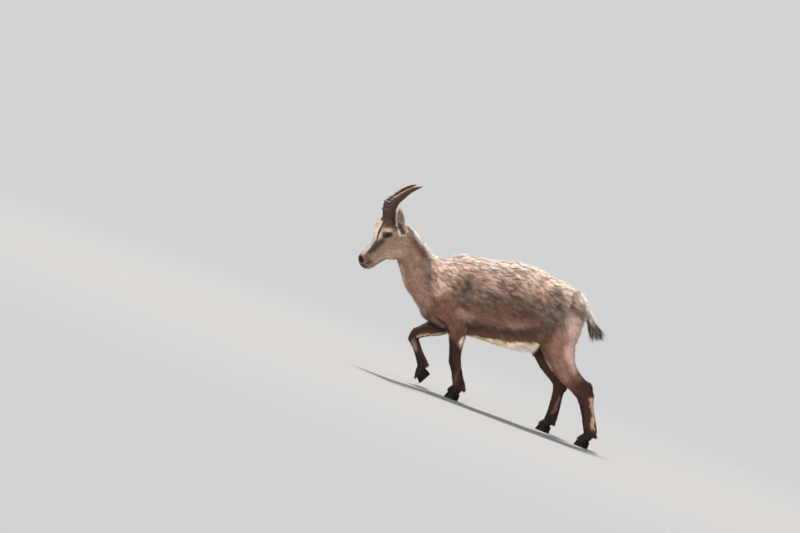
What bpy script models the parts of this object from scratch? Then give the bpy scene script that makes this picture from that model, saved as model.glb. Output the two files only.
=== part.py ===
# Alpine ibex: a still, life-size figure of a young animal in mid stride.
# +Z is up, the muzzle points along -X and the animal's left side faces -Y.
# The soles stand on z = 0 and the origin is under the middle of the figure.
# Lengths in the tables are millimetres; every built mesh is in metres.
import math
import random

import bmesh
import bpy
import numpy as np
from mathutils import Matrix, Vector

MM = 0.001
GAP = 0.3                  # clearance between touching nodes
RING_SIDES = 36            # points round a body section
CREASE = 42.0              # degrees between faces from which an edge is shaded sharp
# Fusing of the forms: size of the cells, faces kept and smoothing passes
HEAD_MELT = dict(voxel=2.6, faces=2800, passes=34)
TRUNK_MELT = dict(voxel=6.0, faces=3500, passes=36)
LEG_MELT = dict(voxel=4.0, faces=6700, passes=12)

BODY_PITCH = 6.5           # degrees the drawn figure is tipped onto its forefeet
BODY_PIVOT = (-46.0, 0.0, 0.0)
HEAD_YAW = 12.0            # degrees the head turns to the animal's left
HEAD_PIVOT = (-480.0, 0.0, 760.0)
HEAD_REACH = -14.0         # how far the drawn head is carried forward
EYE_RADIUS = 15.5
EYE_CENTRE = (-594.0, 41.0, 755.0)
EYE_OPENING = (16.5, 9.5)  # half length and half height between the lids

# Trunk sections: x, underside z, topline z, half width, narrowing towards the top
TORSO = [
    (-324, 410, 445, 26, 0.0), (-308, 387, 560, 58, 0.0), (-280, 369, 650, 80, -0.1),
    (-240, 357, 712, 94, -0.2), (-190, 348, 747, 104, -0.28), (-130, 343, 754, 112, -0.28),
    (-60, 339, 756, 118, -0.24), (20, 334, 763, 124, -0.2), (100, 334, 775, 128, -0.16),
    (160, 337, 781, 129, -0.12), (220, 343, 776, 125, -0.08), (280, 356, 762, 119, -0.04),
    (330, 386, 748, 113, 0.0), (380, 424, 736, 108, 0.02), (430, 464, 712, 98, 0.02),
    (475, 492, 672, 82, 0.0), (508, 516, 622, 60, 0.0), (530, 545, 588, 30, 0.0),
]

# Neck sections: front edge x, z, nape edge x, z, half width, sideways place
NECK = [
    (-582, 712, -544, 826, 36, -8), (-522, 664, -498, 826, 47, -6),
    (-488, 612, -455, 808, 53, -4), (-458, 556, -396, 768, 61, -2),
    (-421, 502, -349, 733, 70, 0), (-378, 466, -305, 707, 80, 0),
    (-336, 424, -240, 712, 90, 0), (-285, 410, -160, 735, 92, 0),
]

# Head sections: jaw edge x, z, face edge x, z, half width, widening towards the face
HEAD = [
    (-689, 590, -694, 603, 9, 0.0), (-680, 572, -695, 617, 19, 0.05),
    (-657, 557, -685, 638, 25, 0.0), (-629, 556, -669, 662, 27, -0.1),
    (-604, 573, -654, 687, 30, -0.1), (-580, 597, -646, 711, 35, -0.02),
    (-556, 619, -646, 738, 41, 0.06), (-532, 637, -646, 766, 46, 0.12),
    (-510, 651, -642, 796, 49, 0.12), (-492, 668, -622, 822, 50, 0.08),
    (-480, 692, -585, 836, 49, 0.0), (-470, 716, -540, 842, 44, 0.0),
    (-474, 752, -508, 834, 30, 0.0),
]

# Rounded masses: centre x, y, z, radii x, y, z, pitch in degrees; y is mirrored
HEAD_MASSES = [
    (-546, 22, 692, 58, 26, 66, -35),    # cheek
    (-596, 32, 757, 38, 24, 28, 20),     # orbit
    (-608, 24, 786, 34, 20, 28, 45),     # brow
    (-676, 11, 602, 15, 13, 17, 30),     # nostril wing
    (-655, 11, 583, 24, 14, 15, -32),    # upper lip
    (-514, 20, 797, 44, 23, 33, 0),      # side of the poll
]
BODY_MASSES = [
    (-176, 58, 548, 80, 48, 132, -18),   # shoulder blade
    (-185, 74, 446, 92, 42, 74, 15),     # upper arm
    (-240, 56, 458, 56, 42, 66, 0),      # point of the shoulder
    (350, 58, 672, 78, 38, 54, 14),      # hip bone
    (412, 64, 600, 122, 50, 118, 0),     # haunch
    (488, 44, 586, 50, 36, 74, 0),       # seat bone
    (120, 62, 480, 200, 68, 128, 0),     # belly wall
]

# Limb stations along a bone: share of its length, front reach, rear reach, half width
THIGH = [(0.05, 92, 120, 40), (0.32, 84, 150, 48), (0.62, 62, 168, 46), (0.88, 38, 150, 42)]
SHANK = [(0.30, 42, 158, 38), (0.42, 46, 122, 36), (0.52, 48, 78, 32), (0.62, 50, 58, 28),
         (0.74, 47, 45, 24), (0.86, 43, 39, 22), (0.97, 43, 37, 23)]
HIND_CANNON = [(0.10, 41, 40, 24), (0.26, 33, 31, 20), (0.46, 30, 30, 17), (0.68, 30, 31, 17),
               (0.86, 32, 32, 20), (1.0, 36, 31, 23)]
FOREARM = [(-0.25, 60, 58, 42), (0.08, 54, 53, 40), (0.32, 49, 48, 35), (0.55, 40, 40, 29),
           (0.76, 33, 33, 25), (0.94, 31, 30, 25)]
FORE_CANNON = [(0.06, 31, 29, 25), (0.22, 28, 26, 21), (0.46, 25, 25, 17), (0.70, 25, 25, 17),
               (0.88, 27, 28, 20), (1.0, 29, 29, 22)]
PASTERN = [(0.45, 27, 24, 21), (0.95, 31, 27, 22), (1.5, 31, 28, 22)]

# Joints of each leg down to the fetlock, x and z, with the sideways place of each
LEGS = {
    "foreleg_left": dict(side=-1, joints=[(-113, 388), (-86, 213), (-28, 73)],
                         across=[80, 72, 66], bones=[FOREARM, FORE_CANNON]),
    "foreleg_right": dict(side=1, joints=[(-172, 366), (-319, 276), (-234, 141)],
                          across=[80, 72, 68], bones=[FOREARM, FORE_CANNON]),
    "hindleg_left": dict(side=-1, joints=[(403, 663), (330, 384), (624, 201), (707, -3)],
                         across=[66, 80, 74, 72], bones=[THIGH, SHANK, HIND_CANNON]),
    "hindleg_right": dict(side=1, joints=[(403, 663), (260, 442), (507, 218), (502, 9)],
                          across=[66, 80, 76, 72], bones=[THIGH, SHANK, HIND_CANNON]),
}

# Hooves: where the sole's middle stands, turn of the sole from level, claw size
HOOF_LENGTH, HOOF_WIDTH, HOOF_CLEFT = 74.0, 25.0, 3.0
HOOF_FRONT, HOOF_HEEL = 40.0, 27.0     # coronet height over the toe and the heel
HOOF_SIDES = 16
FEET = {
    "foreleg_left": dict(x=-56, z=0.0, turn=0.0),
    "foreleg_right": dict(x=-207, z=46.0, turn=-62.0),
    "hindleg_left": dict(x=674, z=0.0, turn=0.0),
    "hindleg_right": dict(x=473, z=0.0, turn=0.0),
}

# Horn: front edge x, z, rear edge x, z, half width, sideways place
HORN = [
    (-615, 848, -558, 830, 21, 25), (-620, 876, -564, 860, 21, 27),
    (-622, 907, -566, 895, 20, 30), (-614, 932, -562, 923, 18, 34),
    (-595, 957, -554, 941, 16, 38), (-571, 982, -541, 960, 13.5, 43),
    (-542, 1010, -522, 989, 10.5, 48), (-509, 1033, -498, 1015, 7.5, 53),
    (-479, 1045, -475, 1034, 4, 56), (-464, 1049, -462, 1045, 1.5, 57),
]
HORN_KNOBS = [(0.13, 6.0), (0.30, 6.5), (0.44, 4.0), (0.56, 2.5), (0.67, 1.5)]
HORN_KNOB_SPREAD = 0.045
HORN_STATIONS, HORN_SIDES = 26, 12

# Ear: root, tip, and stations of share, half width, cup depth
EAR_ROOT = (-523, 54, 798)
EAR_TIP = (-569, 86, 908)
EAR_STATIONS = [(0.0, 15, 15), (0.12, 20, 16), (0.28, 24, 15), (0.46, 24.5, 13),
                (0.64, 21, 10), (0.80, 15, 7), (0.92, 8.5, 4.6), (1.0, 3.4, 3.0)]
EAR_THICKNESS = 3.0
EAR_OPENING = (-0.45, 0.88, 0.0)
EAR_RINGS, EAR_ARC = 12, 6
EAR_BOW = 9.0                          # how far the leaf bends back from a straight line
EAR_BOSS_LEVELS = ((34, 1.5), (14, 1.2), (-6, 0.95))
EAR_BOSS_DEEP, EAR_BOSS_WIDE, EAR_BOSS_BACK = 12.0, 16.0, 6.0
EAR_TRIM = (23, 23, 34)                # block that cuts the boss flat under the ear
HORN_TRIM = (37, 24, 70)               # block that cuts the head flat under the horn

# Tail: axis x, z, half depth, half width; the tuft's locks hang from its end
TAIL = [
    (446, 664, 14, 17), (480, 651, 19, 22), (514, 629, 20, 24), (548, 598, 20, 24),
    (576, 560, 20, 21), (592, 532, 18, 18), (606, 512, 14, 13), (624, 500, 6, 6),
]
TAIL_STATIONS, TAIL_SIDES = 14, 14

# Long hair: the tail's tuft in tiers of station, count, length and width of the locks,
# and the belly's fringe in rows of place along the body and length
LOCK_THICKNESS, LOCK_SINK = 9.0, 6.0
TUFT = [(7, 5, 58, 26), (9, 6, 56, 26), (11, 5, 44, 22)]
FRINGE = [(58, 48), (90, 56), (121, 64), (150, 72), (179, 76), (207, 76), (234, 72), (260, 60)]
FRINGE_ACROSS = (10, 34)
FRINGE_WIDTH = 38.0
TUFT_SEED, FRINGE_SEED = 4, 11

# Thin cuts between nodes: a point, the normal, and the half extents of the cutting sheet
CUTS = {
    "head": dict(at=(-478, -2, 720), normal=(0.976, 0.12, -0.218), reach=(150, 95)),
    "neck": dict(at=(-299, 0, 562), normal=(0.974, 0, -0.228), reach=(196, 150)),
    "foreleg_left": dict(at=(-108, -84, 358), normal=(0, -0.635, -0.772), reach=(82, 70)),
    "foreleg_right": dict(at=(-228, 82, 348), normal=(-0.27, 0.49, -0.83), reach=(95, 66)),
    "hindleg_left": dict(at=(445, -79, 430), normal=(0.461, 0, -0.887), reach=(170, 75)),
    "hindleg_right": dict(at=(440, 79, 427), normal=(0.461, 0, -0.887), reach=(175, 75)),
}

FLESH_COLOUR = (0.36, 0.27, 0.21)
DARK_COLOUR = (0.07, 0.045, 0.035)
HORN_COLOUR = (0.17, 0.12, 0.08)
HOOF_COLOUR = (0.03, 0.027, 0.025)
EYE_COLOUR = (0.02, 0.012, 0.006)


def clear_scene():
    for item in list(bpy.data.objects):
        bpy.data.objects.remove(item, do_unlink=True)


def collection(name):
    made = bpy.data.collections.new(name)
    bpy.context.scene.collection.children.link(made)
    return made


def material(name, colour, roughness):
    made = bpy.data.materials.new(name)
    made.use_nodes = True
    shader = made.node_tree.nodes["Principled BSDF"]
    shader.inputs["Base Color"].default_value = (*colour, 1.0)
    shader.inputs["Roughness"].default_value = roughness
    shader.inputs["Metallic"].default_value = 0.0
    return made


def add_object(name, mesh, where):
    made = bpy.data.objects.new(name, mesh)
    where.objects.link(made)
    return made


def turned_about(pivot, degrees, axis):
    pivot = Vector(pivot)
    turn = Matrix.Rotation(math.radians(degrees), 4, axis)
    return Matrix.Translation(pivot) @ turn @ Matrix.Translation(-pivot)


BODY_TURN = turned_about(BODY_PIVOT, -BODY_PITCH, "Y")
HEAD_TURN = (BODY_TURN @ Matrix.Translation((HEAD_REACH, 0, 0))
             @ turned_about(HEAD_PIVOT, HEAD_YAW, "Z"))


def curve_through(rows, count):
    """Rows of numbers read off a smooth curve through the given ones."""
    rows = np.array(rows, float)
    padded = np.vstack([2 * rows[0] - rows[1], rows, 2 * rows[-1] - rows[-2]])
    out = []
    for share in np.linspace(0, len(rows) - 1, count):
        step = min(int(share), len(rows) - 2)
        t = share - step
        a, b, c, d = padded[step:step + 4]
        bend = 2 * a - 5 * b + 4 * c - d + t * (3 * (b - c) + d - a)
        out.append(b + 0.5 * t * (c - a + t * bend))
    return np.array(out)


def section(centre, up, side, taper=0.0, sides=RING_SIDES):
    """An oval ring; taper widens (or narrows) it towards its upper edge."""
    points = []
    for step in range(sides):
        angle = 2 * math.pi * step / sides
        reach = math.sin(angle)
        points.append(centre + up * reach + side * math.cos(angle) * (1 + taper * reach))
    return points


def loft(rings, matrix=BODY_TURN):
    """One closed mesh through rings with the same number of points."""
    shape = bmesh.new()
    loops = [[shape.verts.new(Vector(point)) for point in ring] for ring in rings]
    count = len(loops[0])
    for first, second in zip(loops, loops[1:]):
        for step in range(count):
            after = (step + 1) % count
            shape.faces.new((first[step], first[after], second[after], second[step]))
    shape.faces.new(list(reversed(loops[0])))
    shape.faces.new(loops[-1])
    bmesh.ops.transform(shape, matrix=matrix, verts=shape.verts)
    bmesh.ops.recalc_face_normals(shape, faces=shape.faces)
    mesh = bpy.data.meshes.new("form")
    shape.to_mesh(mesh)
    shape.free()
    return mesh


def edge_loft(rows, matrix=BODY_TURN, count=None, sides=RING_SIDES):
    """A loft whose rows give both edges in side view: x, z, x, z, half width, taper, y."""
    rings = []
    for x0, z0, x1, z1, half_width, taper, across in curve_through(rows, count or 3 * len(rows)):
        low, high = Vector((x0, across, z0)), Vector((x1, across, z1))
        side = Vector((0, max(half_width, 1.0), 0))
        rings.append(section((low + high) / 2, (high - low) / 2, side, taper, sides))
    return loft(rings, matrix)


def torso_form():
    rows = [(x, low, x, high, wide, taper, 0) for x, low, high, wide, taper in TORSO]
    return edge_loft(rows)


def neck_form():
    return edge_loft([(*row[:5], 0.0, row[5]) for row in NECK])


def head_form():
    return edge_loft([(*row, 0.0) for row in HEAD], HEAD_TURN)


def ellipsoid(centre, radii, pitch=0.0, matrix=BODY_TURN, segments=20):
    shape = bmesh.new()
    bmesh.ops.create_uvsphere(shape, u_segments=segments, v_segments=segments // 2, radius=1.0)
    place = (Matrix.Translation(centre) @ Matrix.Rotation(math.radians(pitch), 4, "Y")
             @ Matrix.Diagonal((*radii, 1.0)))
    bmesh.ops.transform(shape, matrix=matrix @ place, verts=shape.verts)
    mesh = bpy.data.meshes.new("mass")
    shape.to_mesh(mesh)
    shape.free()
    return mesh


def mirrored_masses(table, matrix=BODY_TURN):
    return [ellipsoid((x, side * y, z), (a, b, c), pitch, matrix)
            for x, y, z, a, b, c, pitch in table for side in (-1, 1)]


def limb_rows(joints, across, bones):
    """Front and rear edges of each station, set square to its bone."""
    rows = []
    for index, stations in enumerate(bones):
        start, end = Vector(joints[index]), Vector(joints[index + 1])
        along = (end - start).normalized()
        rear = Vector((-along.y, along.x))
        if rear.x < 0:
            rear = -rear
        for share, front_reach, rear_reach, half_width in stations:
            middle = start.lerp(end, share)
            offset = across[index] + (across[index + 1] - across[index]) * share
            front_point, rear_point = middle - rear * front_reach, middle + rear * rear_reach
            rows.append((*front_point, *rear_point, half_width, 0.0, offset))
    return rows


def coronet_joint(name):
    """Middle of a foot's coronet, in the frame in which the body is drawn."""
    point = BODY_TURN.inverted() @ foot_matrix(name) @ Vector((0, 0, (HOOF_FRONT + HOOF_HEEL) / 2))
    return point.x, point.z


def leg_form(name):
    leg = LEGS[name]
    bones = leg["bones"] + [PASTERN]
    joints = leg["joints"] + [coronet_joint(name)]
    rows = limb_rows(joints, leg["across"] + leg["across"][-1:], bones)
    rows = [(*row[:6], leg["side"] * row[6]) for row in rows]
    return edge_loft(rows, count=2 * len(rows), sides=24)


def hock_form(leg):
    """The heel bone that stands out behind the hock, in line with the cannon."""
    if len(leg["bones"]) < 3:
        return []
    hock, fetlock = Vector(leg["joints"][2]), Vector(leg["joints"][3])
    along = (fetlock - hock).normalized()
    rear = Vector((-along.y, along.x))
    point = hock - along * 15 + rear * 18
    pitch = math.degrees(math.atan2(along.x, -along.y))
    return [ellipsoid((point.x, leg["side"] * leg["across"][2], point.y), (18, 17, 33), -pitch)]


def dewclaw_forms(leg):
    above, fetlock = Vector(leg["joints"][-2]), Vector(leg["joints"][-1])
    along = (fetlock - above).normalized()
    rear = Vector((-along.y, along.x))
    point = fetlock + along * 12 + rear * 23
    middle = leg["side"] * leg["across"][-1]
    pitch = math.degrees(math.atan2(along.x, -along.y))
    return [ellipsoid((point.x, middle + step * 13, point.y), (9, 8, 14), -pitch - 15, segments=14)
            for step in (-1, 1)]


def melt(name, meshes, where, voxel, faces, passes):
    """Fuse overlapping forms into one skin, soften it and thin out its faces."""
    shape = bmesh.new()
    for mesh in meshes:
        shape.from_mesh(mesh)
    joined = bpy.data.meshes.new(name)
    shape.to_mesh(joined)
    shape.free()
    body = add_object(name, joined, where)
    remesh = body.modifiers.new("Fuse", "REMESH")
    remesh.mode = "VOXEL"
    remesh.voxel_size = voxel
    smooth = body.modifiers.new("Soften", "SMOOTH")
    smooth.factor = 0.5
    smooth.iterations = passes
    settle(body)
    thin = body.modifiers.new("Thin", "DECIMATE")
    thin.ratio = min(1.0, faces / (2 * len(body.data.polygons)))
    thin.use_collapse_triangulate = True
    settle(body)
    return body


def settle(body):
    """Replace an object's mesh by what its modifiers make of it."""
    graph = bpy.context.evaluated_depsgraph_get()
    made = bpy.data.meshes.new_from_object(body.evaluated_get(graph))
    body.modifiers.clear()
    body.data = made


def boolean(body, operation, cutters):
    """Apply one Boolean with the given objects, which are then removed."""
    tools = bpy.data.collections.new("tools")
    bpy.context.scene.collection.children.link(tools)
    for cutter in cutters:
        tools.objects.link(cutter)
    step = body.modifiers.new("Boolean", "BOOLEAN")
    step.operation = operation
    step.operand_type = "COLLECTION"
    step.collection = tools
    step.solver = "EXACT"
    settle(body)
    for cutter in cutters:
        bpy.data.objects.remove(cutter, do_unlink=True)
    bpy.data.collections.remove(tools)


def sheet(cut, where):
    """A thin flat box that parts two nodes."""
    normal = Vector(cut["normal"]).normalized()
    along = Vector((0, 1, 0)).cross(normal).normalized()
    across = normal.cross(along)
    frame = Matrix((along, across, normal)).transposed().to_4x4()
    size = Matrix.Diagonal((2 * cut["reach"][0], 2 * cut["reach"][1], GAP, 1.0))
    shape = bmesh.new()
    bmesh.ops.create_cube(shape, size=1.0,
                          matrix=BODY_TURN @ Matrix.Translation(cut["at"]) @ frame @ size)
    mesh = bpy.data.meshes.new("sheet")
    shape.to_mesh(mesh)
    shape.free()
    return add_object("sheet", mesh, where)


def joint_cut(leg, index):
    """A cut square across a leg at one of its joints."""
    before, joint, after = (Vector(leg["joints"][index + step]) for step in (-1, 0, 1))
    normal = ((joint - before).normalized() + (after - joint).normalized()).normalized()
    place = joint + normal * 6
    return dict(at=(place.x, leg["side"] * leg["across"][index], place.y),
                normal=(normal.x, 0, normal.y), reach=(78, 44))


def foot_matrix(name):
    """Sole frame of a foot: x towards the heel, z up through the hoof."""
    foot, leg = FEET[name], LEGS[name]
    turn = Matrix.Rotation(math.radians(foot["turn"]), 4, "Y")
    return Matrix.Translation((foot["x"], leg["side"] * leg["across"][-1], foot["z"])) @ turn


def coronet_height(x):
    share = (x + HOOF_LENGTH / 2) / HOOF_LENGTH
    return HOOF_FRONT + (HOOF_HEEL - HOOF_FRONT) * share


def coronet_box(name, where):
    """A block whose top is the coronet: it takes away the leg's end."""
    matrix = foot_matrix(name)
    shape = bmesh.new()
    bmesh.ops.create_cube(shape, size=1.0, matrix=Matrix.Diagonal((130, 90, 120, 1.0)))
    for vert in shape.verts:
        if vert.co.z > 0:
            vert.co.z = coronet_height(vert.co.x) + GAP / 2
        else:
            vert.co.z = -60
    bmesh.ops.transform(shape, matrix=matrix, verts=shape.verts)
    mesh = bpy.data.meshes.new("coronet")
    shape.to_mesh(mesh)
    shape.free()
    return add_object("coronet", mesh, where)


def claw(name, step):
    """One half of a hoof: pointed toe, upright sides, round heel and a flat sole."""
    levels = [(0.0, 1.0, 0.0), (0.06, 1.03, 0.0), (0.45, 0.96, 3.0), (1.0, 0.84, 6.5)]
    rings = []
    for share, size, back in levels:
        ring = []
        for index in range(HOOF_SIDES):
            angle = 2 * math.pi * index / HOOF_SIDES
            ahead = math.cos(angle)
            x = -ahead * HOOF_LENGTH / 2 * size + back
            narrow = 1 - 0.42 * max(ahead, 0) ** 2
            y = math.sin(angle) * HOOF_WIDTH / 2 * narrow * (1 - 0.06 * share)
            y += step * ((HOOF_WIDTH + HOOF_CLEFT) / 2 - 2.0 * max(ahead, 0))
            top = coronet_height(x) - GAP / 2
            ring.append(Vector((x, y, top * share)))
        rings.append(ring)
    mesh = loft(rings, foot_matrix(name))
    for vert in mesh.vertices:
        vert.co.z = max(vert.co.z, 0.0)
    return mesh


def horn(side):
    """A ridged sheath, its knobs on the front edge only."""
    rings = []
    rows = curve_through(HORN, HORN_STATIONS)
    for index, (x0, z0, x1, z1, half_width, across) in enumerate(rows):
        share = index / (HORN_STATIONS - 1)
        knob = sum(size * math.exp(-((share - at) / HORN_KNOB_SPREAD) ** 2)
                   for at, size in HORN_KNOBS)
        front, rear = Vector((x0, 0, z0)), Vector((x1, 0, z1))
        ahead = (front - rear).normalized()
        ring = []
        for step in range(HORN_SIDES):
            angle = 2 * math.pi * step / HORN_SIDES
            forward = math.cos(angle)
            reach = (front - rear).length / 2 * forward + knob * max(forward, 0) ** 1.5
            wide = half_width * math.sin(angle) * (1 + 0.12 * forward) + side * across
            point = (front + rear) / 2 + ahead * reach
            ring.append(Vector((point.x, wide, point.z)))
        rings.append(ring)
    return loft(rings, HEAD_TURN)


def horn_plane(side, lift):
    """Point and upward normal of the plane on which a horn stands."""
    x0, z0, x1, z1, half_width, across = HORN[0]
    ahead = Vector((x0 - x1, 0, z0 - z1)).normalized()
    normal = ahead.cross(Vector((0, -1, 0)))
    if normal.z < 0:
        normal = -normal
    middle = Vector(((x0 + x1) / 2, side * across, (z0 + z1) / 2))
    return middle + normal * lift, normal


def horn_core(side):
    """The head's own boss below a horn, up past the plane where it is cut flat."""
    x0, z0, x1, z1, half_width, across = HORN[0]
    point, normal = horn_plane(side, 0)
    rings = []
    for drop, size in ((60, 0.95), (25, 1.0), (-8, 0.96)):
        low = Vector((x1, side * across, z1)) - normal * drop
        high = Vector((x0, side * across, z0)) - normal * drop
        rings.append(section((low + high) / 2, (high - low) / 2 * size,
                             Vector((0, half_width * size, 0)), sides=24))
    return loft(rings, HEAD_TURN)


def trim_above(point, normal, size, where):
    """A block standing on a plane, to cut a boss off flat: half extents and height."""
    ahead_reach, side_reach, height = size
    normal = Vector(normal).normalized()
    ahead = normal.cross(Vector((0, 1, 0))).normalized()
    frame = Matrix((ahead, normal.cross(ahead), normal)).transposed().to_4x4()
    shape = bmesh.new()
    lift = Matrix.Translation((0, 0, height / 2))
    spread = Matrix.Diagonal((2 * ahead_reach, 2 * side_reach, height, 1.0))
    bmesh.ops.create_cube(shape, size=1.0,
                          matrix=HEAD_TURN @ Matrix.Translation(point) @ frame @ lift @ spread)
    mesh = bpy.data.meshes.new("trim")
    shape.to_mesh(mesh)
    shape.free()
    return add_object("trim", mesh, where)


def ear_frame(side):
    root = Vector((EAR_ROOT[0], side * EAR_ROOT[1], EAR_ROOT[2]))
    tip = Vector((EAR_TIP[0], side * EAR_TIP[1], EAR_TIP[2]))
    axis = (tip - root).normalized()
    opening = Vector((EAR_OPENING[0], side * EAR_OPENING[1], EAR_OPENING[2]))
    opening = (opening - axis * opening.dot(axis)).normalized()
    return root, tip, axis, opening, axis.cross(opening)


def ear(side):
    """A cupped leaf: an outer arc and an inner one, a few millimetres apart."""
    root, tip, axis, opening, flank = ear_frame(side)
    rings = []
    for share, wide, deep in curve_through(EAR_STATIONS, EAR_RINGS):
        bow = opening * (-EAR_BOW * math.sin(math.pi * share))
        centre = root.lerp(tip, share) + bow
        thick = min(EAR_THICKNESS, wide * 0.6, deep * 0.8)
        ring = []
        for reach_wide, reach_deep, angles in (
                (wide, deep, np.linspace(-90, 90, EAR_ARC)),
                (wide - thick, deep - thick, np.linspace(90, -90, EAR_ARC))):
            for angle in np.radians(angles):
                ring.append(centre + flank * reach_wide * math.sin(angle)
                            - opening * reach_deep * math.cos(angle))
        rings.append(ring)
    return loft(rings, HEAD_TURN)


def ear_boss(side):
    root, tip, axis, opening, flank = ear_frame(side)
    rings = []
    for drop, size in EAR_BOSS_LEVELS:
        centre = root - axis * drop - opening * EAR_BOSS_BACK
        deep, wide = EAR_BOSS_DEEP * size, EAR_BOSS_WIDE * size
        rings.append(section(centre, opening * deep, flank * wide, sides=20))
    return loft(rings, HEAD_TURN)


def lock(root, direction, fall, length, width, thickness, lie):
    """A flat tapered lock of hair that bends from its direction towards its fall."""
    rings = []
    point, heading = Vector(root), Vector(direction).normalized()
    fall = Vector(fall).normalized()
    steps = 4
    for step in range(steps + 1):
        share = step / steps
        size = (1 - share) ** 0.7 if step < steps else 0.06
        side = heading.cross(Vector(lie)).normalized()
        up = side.cross(heading).normalized()
        rings.append(section(point, up * thickness / 2 * max(size, 0.12),
                             side * width / 2 * max(size, 0.08), sides=5))
        heading = (heading * (1 - 0.28) + fall * 0.28).normalized()
        point = point + heading * length / steps
    return loft(rings)


def scaled_object(name, mesh, where):
    """A shown node: its mesh goes from millimetres to metres and is shaded smooth."""
    mesh.transform(Matrix.Scale(MM, 4))
    made = add_object(name, mesh, where)
    mesh.shade_smooth()
    mesh.set_sharp_from_angle(angle=math.radians(CREASE))
    return made


def islands(mesh):
    """The closed surfaces that make up a mesh, each as its own mesh, largest first."""
    shape = bmesh.new()
    shape.from_mesh(mesh)
    shape.faces.ensure_lookup_table()
    seen, found = set(), []
    for face in shape.faces:
        if face.index in seen:
            continue
        seen.add(face.index)
        group, edge = [], [face]
        while edge:
            current = edge.pop()
            group.append(current)
            for border in current.edges:
                for other in border.link_faces:
                    if other.index not in seen:
                        seen.add(other.index)
                        edge.append(other)
        found.append(group)
    pieces = []
    for group in sorted(found, key=len, reverse=True):
        keep = {face.index for face in group}
        piece = shape.copy()
        piece.faces.ensure_lookup_table()
        gone = [face for face in piece.faces if face.index not in keep]
        bmesh.ops.delete(piece, geom=gone, context="FACES")
        made = bpy.data.meshes.new("island")
        piece.to_mesh(made)
        piece.free()
        pieces.append(made)
    shape.free()
    return pieces


def pick(pieces, seed):
    """The piece whose surface comes nearest to a point."""
    def distance(mesh):
        points = np.array([vert.co for vert in mesh.vertices])
        return np.linalg.norm(points - np.array(seed), axis=1).min()
    large = [mesh for mesh in pieces if len(mesh.polygons) > 40]
    return min(large, key=distance)


def node_sheets(where, names):
    return [sheet(CUTS[name], where) for name in names]


def leg_sheets(where):
    sheets = []
    for name, leg in LEGS.items():
        index = 1 if len(leg["bones"]) == 2 else 2
        sheets.append(sheet(joint_cut(leg, index), where))
        sheets.append(coronet_box(name, where))
    return sheets


def tail_rows():
    """Stations of the tail with their direction and the way up from them."""
    rows = curve_through(TAIL, TAIL_STATIONS)
    found = []
    for index, (x, z, deep, wide) in enumerate(rows):
        before, after = rows[max(index - 1, 0)], rows[min(index + 1, len(rows) - 1)]
        heading = Vector((after[0] - before[0], 0, after[1] - before[1])).normalized()
        found.append((Vector((x, 0, z)), heading, Vector((-heading.z, 0, heading.x)), deep, wide))
    return found


def tail_object(rump, where):
    """A tail sunk in the rump, its tuft of locks, less the rump and the clearance."""
    rows = tail_rows()
    rings = [section(middle, up * deep, Vector((0, wide, 0)), sides=TAIL_SIDES)
             for middle, heading, up, deep, wide in rows]
    body = add_object("tail", loft(rings), where)
    draw = random.Random(TUFT_SEED)
    locks = []
    for tier, (station, count, length, width) in enumerate(TUFT):
        middle, heading, up, deep, wide = rows[station]
        for step in range(count):
            angle = 2 * math.pi * (step + 0.5 * tier) / count
            out = up * math.sin(angle) + Vector((0, math.cos(angle), 0))
            start = middle + up * (math.sin(angle) * (deep - LOCK_SINK))
            start += Vector((0, math.cos(angle) * (wide - LOCK_SINK), 0))
            fall = heading + Vector((0.15, 0, -0.25)) - out * 0.2
            size = draw.uniform(0.88, 1.12)
            mesh = lock(start, heading + out * 0.3, fall, length * size, width, LOCK_THICKNESS, out)
            locks.append(add_object("lock", mesh, where))
    boolean(body, "UNION", locks)
    boolean(body, "DIFFERENCE", [grown(rump, where)])
    return pick(islands(body.data), BODY_TURN @ rows[-2][0])


def grown(mesh, where):
    """A copy of a node pushed out by the clearance, to cut its neighbour with."""
    body = add_object("grown", mesh.copy(), where)
    push = body.modifiers.new("Push", "DISPLACE")
    push.strength = GAP
    push.mid_level = 0.0
    settle(body)
    return body


def fringe_locks(where):
    """Pale hair along the underside, longest before the flank, each lock over the next."""
    draw = random.Random(FRINGE_SEED)
    stations = [row[0] for row in TORSO]
    underside = [row[1] for row in TORSO]
    locks = []
    for x, length in FRINGE:
        for side in (-1, 1):
            for row, across in enumerate(FRINGE_ACROSS):
                place = x + row * 12 + draw.uniform(-4, 4)
                rise = 9 + across * across * 0.012
                under = np.interp(place, stations, underside)
                start = (place, side * (across + draw.uniform(-3, 3)), under + rise)
                heading = (0.75, side * 0.15 * row, -0.6)
                fall = (0.93, side * 0.05, -0.3)
                size = length * draw.uniform(0.88, 1.1) * (1 - 0.15 * row)
                lie = (0.1, side, -0.35 * row)
                mesh = lock(start, heading, fall, size, FRINGE_WIDTH, LOCK_THICKNESS, lie)
                locks.append(add_object("lock", mesh, where))
    return locks


def eye_matrix(side):
    x, y, z = EYE_CENTRE
    return HEAD_TURN @ Matrix.Translation((x, side * y, z))


def ball(name, side, radius, where, segments=16):
    shape = bmesh.new()
    bmesh.ops.create_uvsphere(shape, u_segments=segments, v_segments=segments // 2, radius=radius,
                              matrix=eye_matrix(side))
    mesh = bpy.data.meshes.new(name)
    shape.to_mesh(mesh)
    shape.free()
    return add_object(name, mesh, where)


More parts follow.
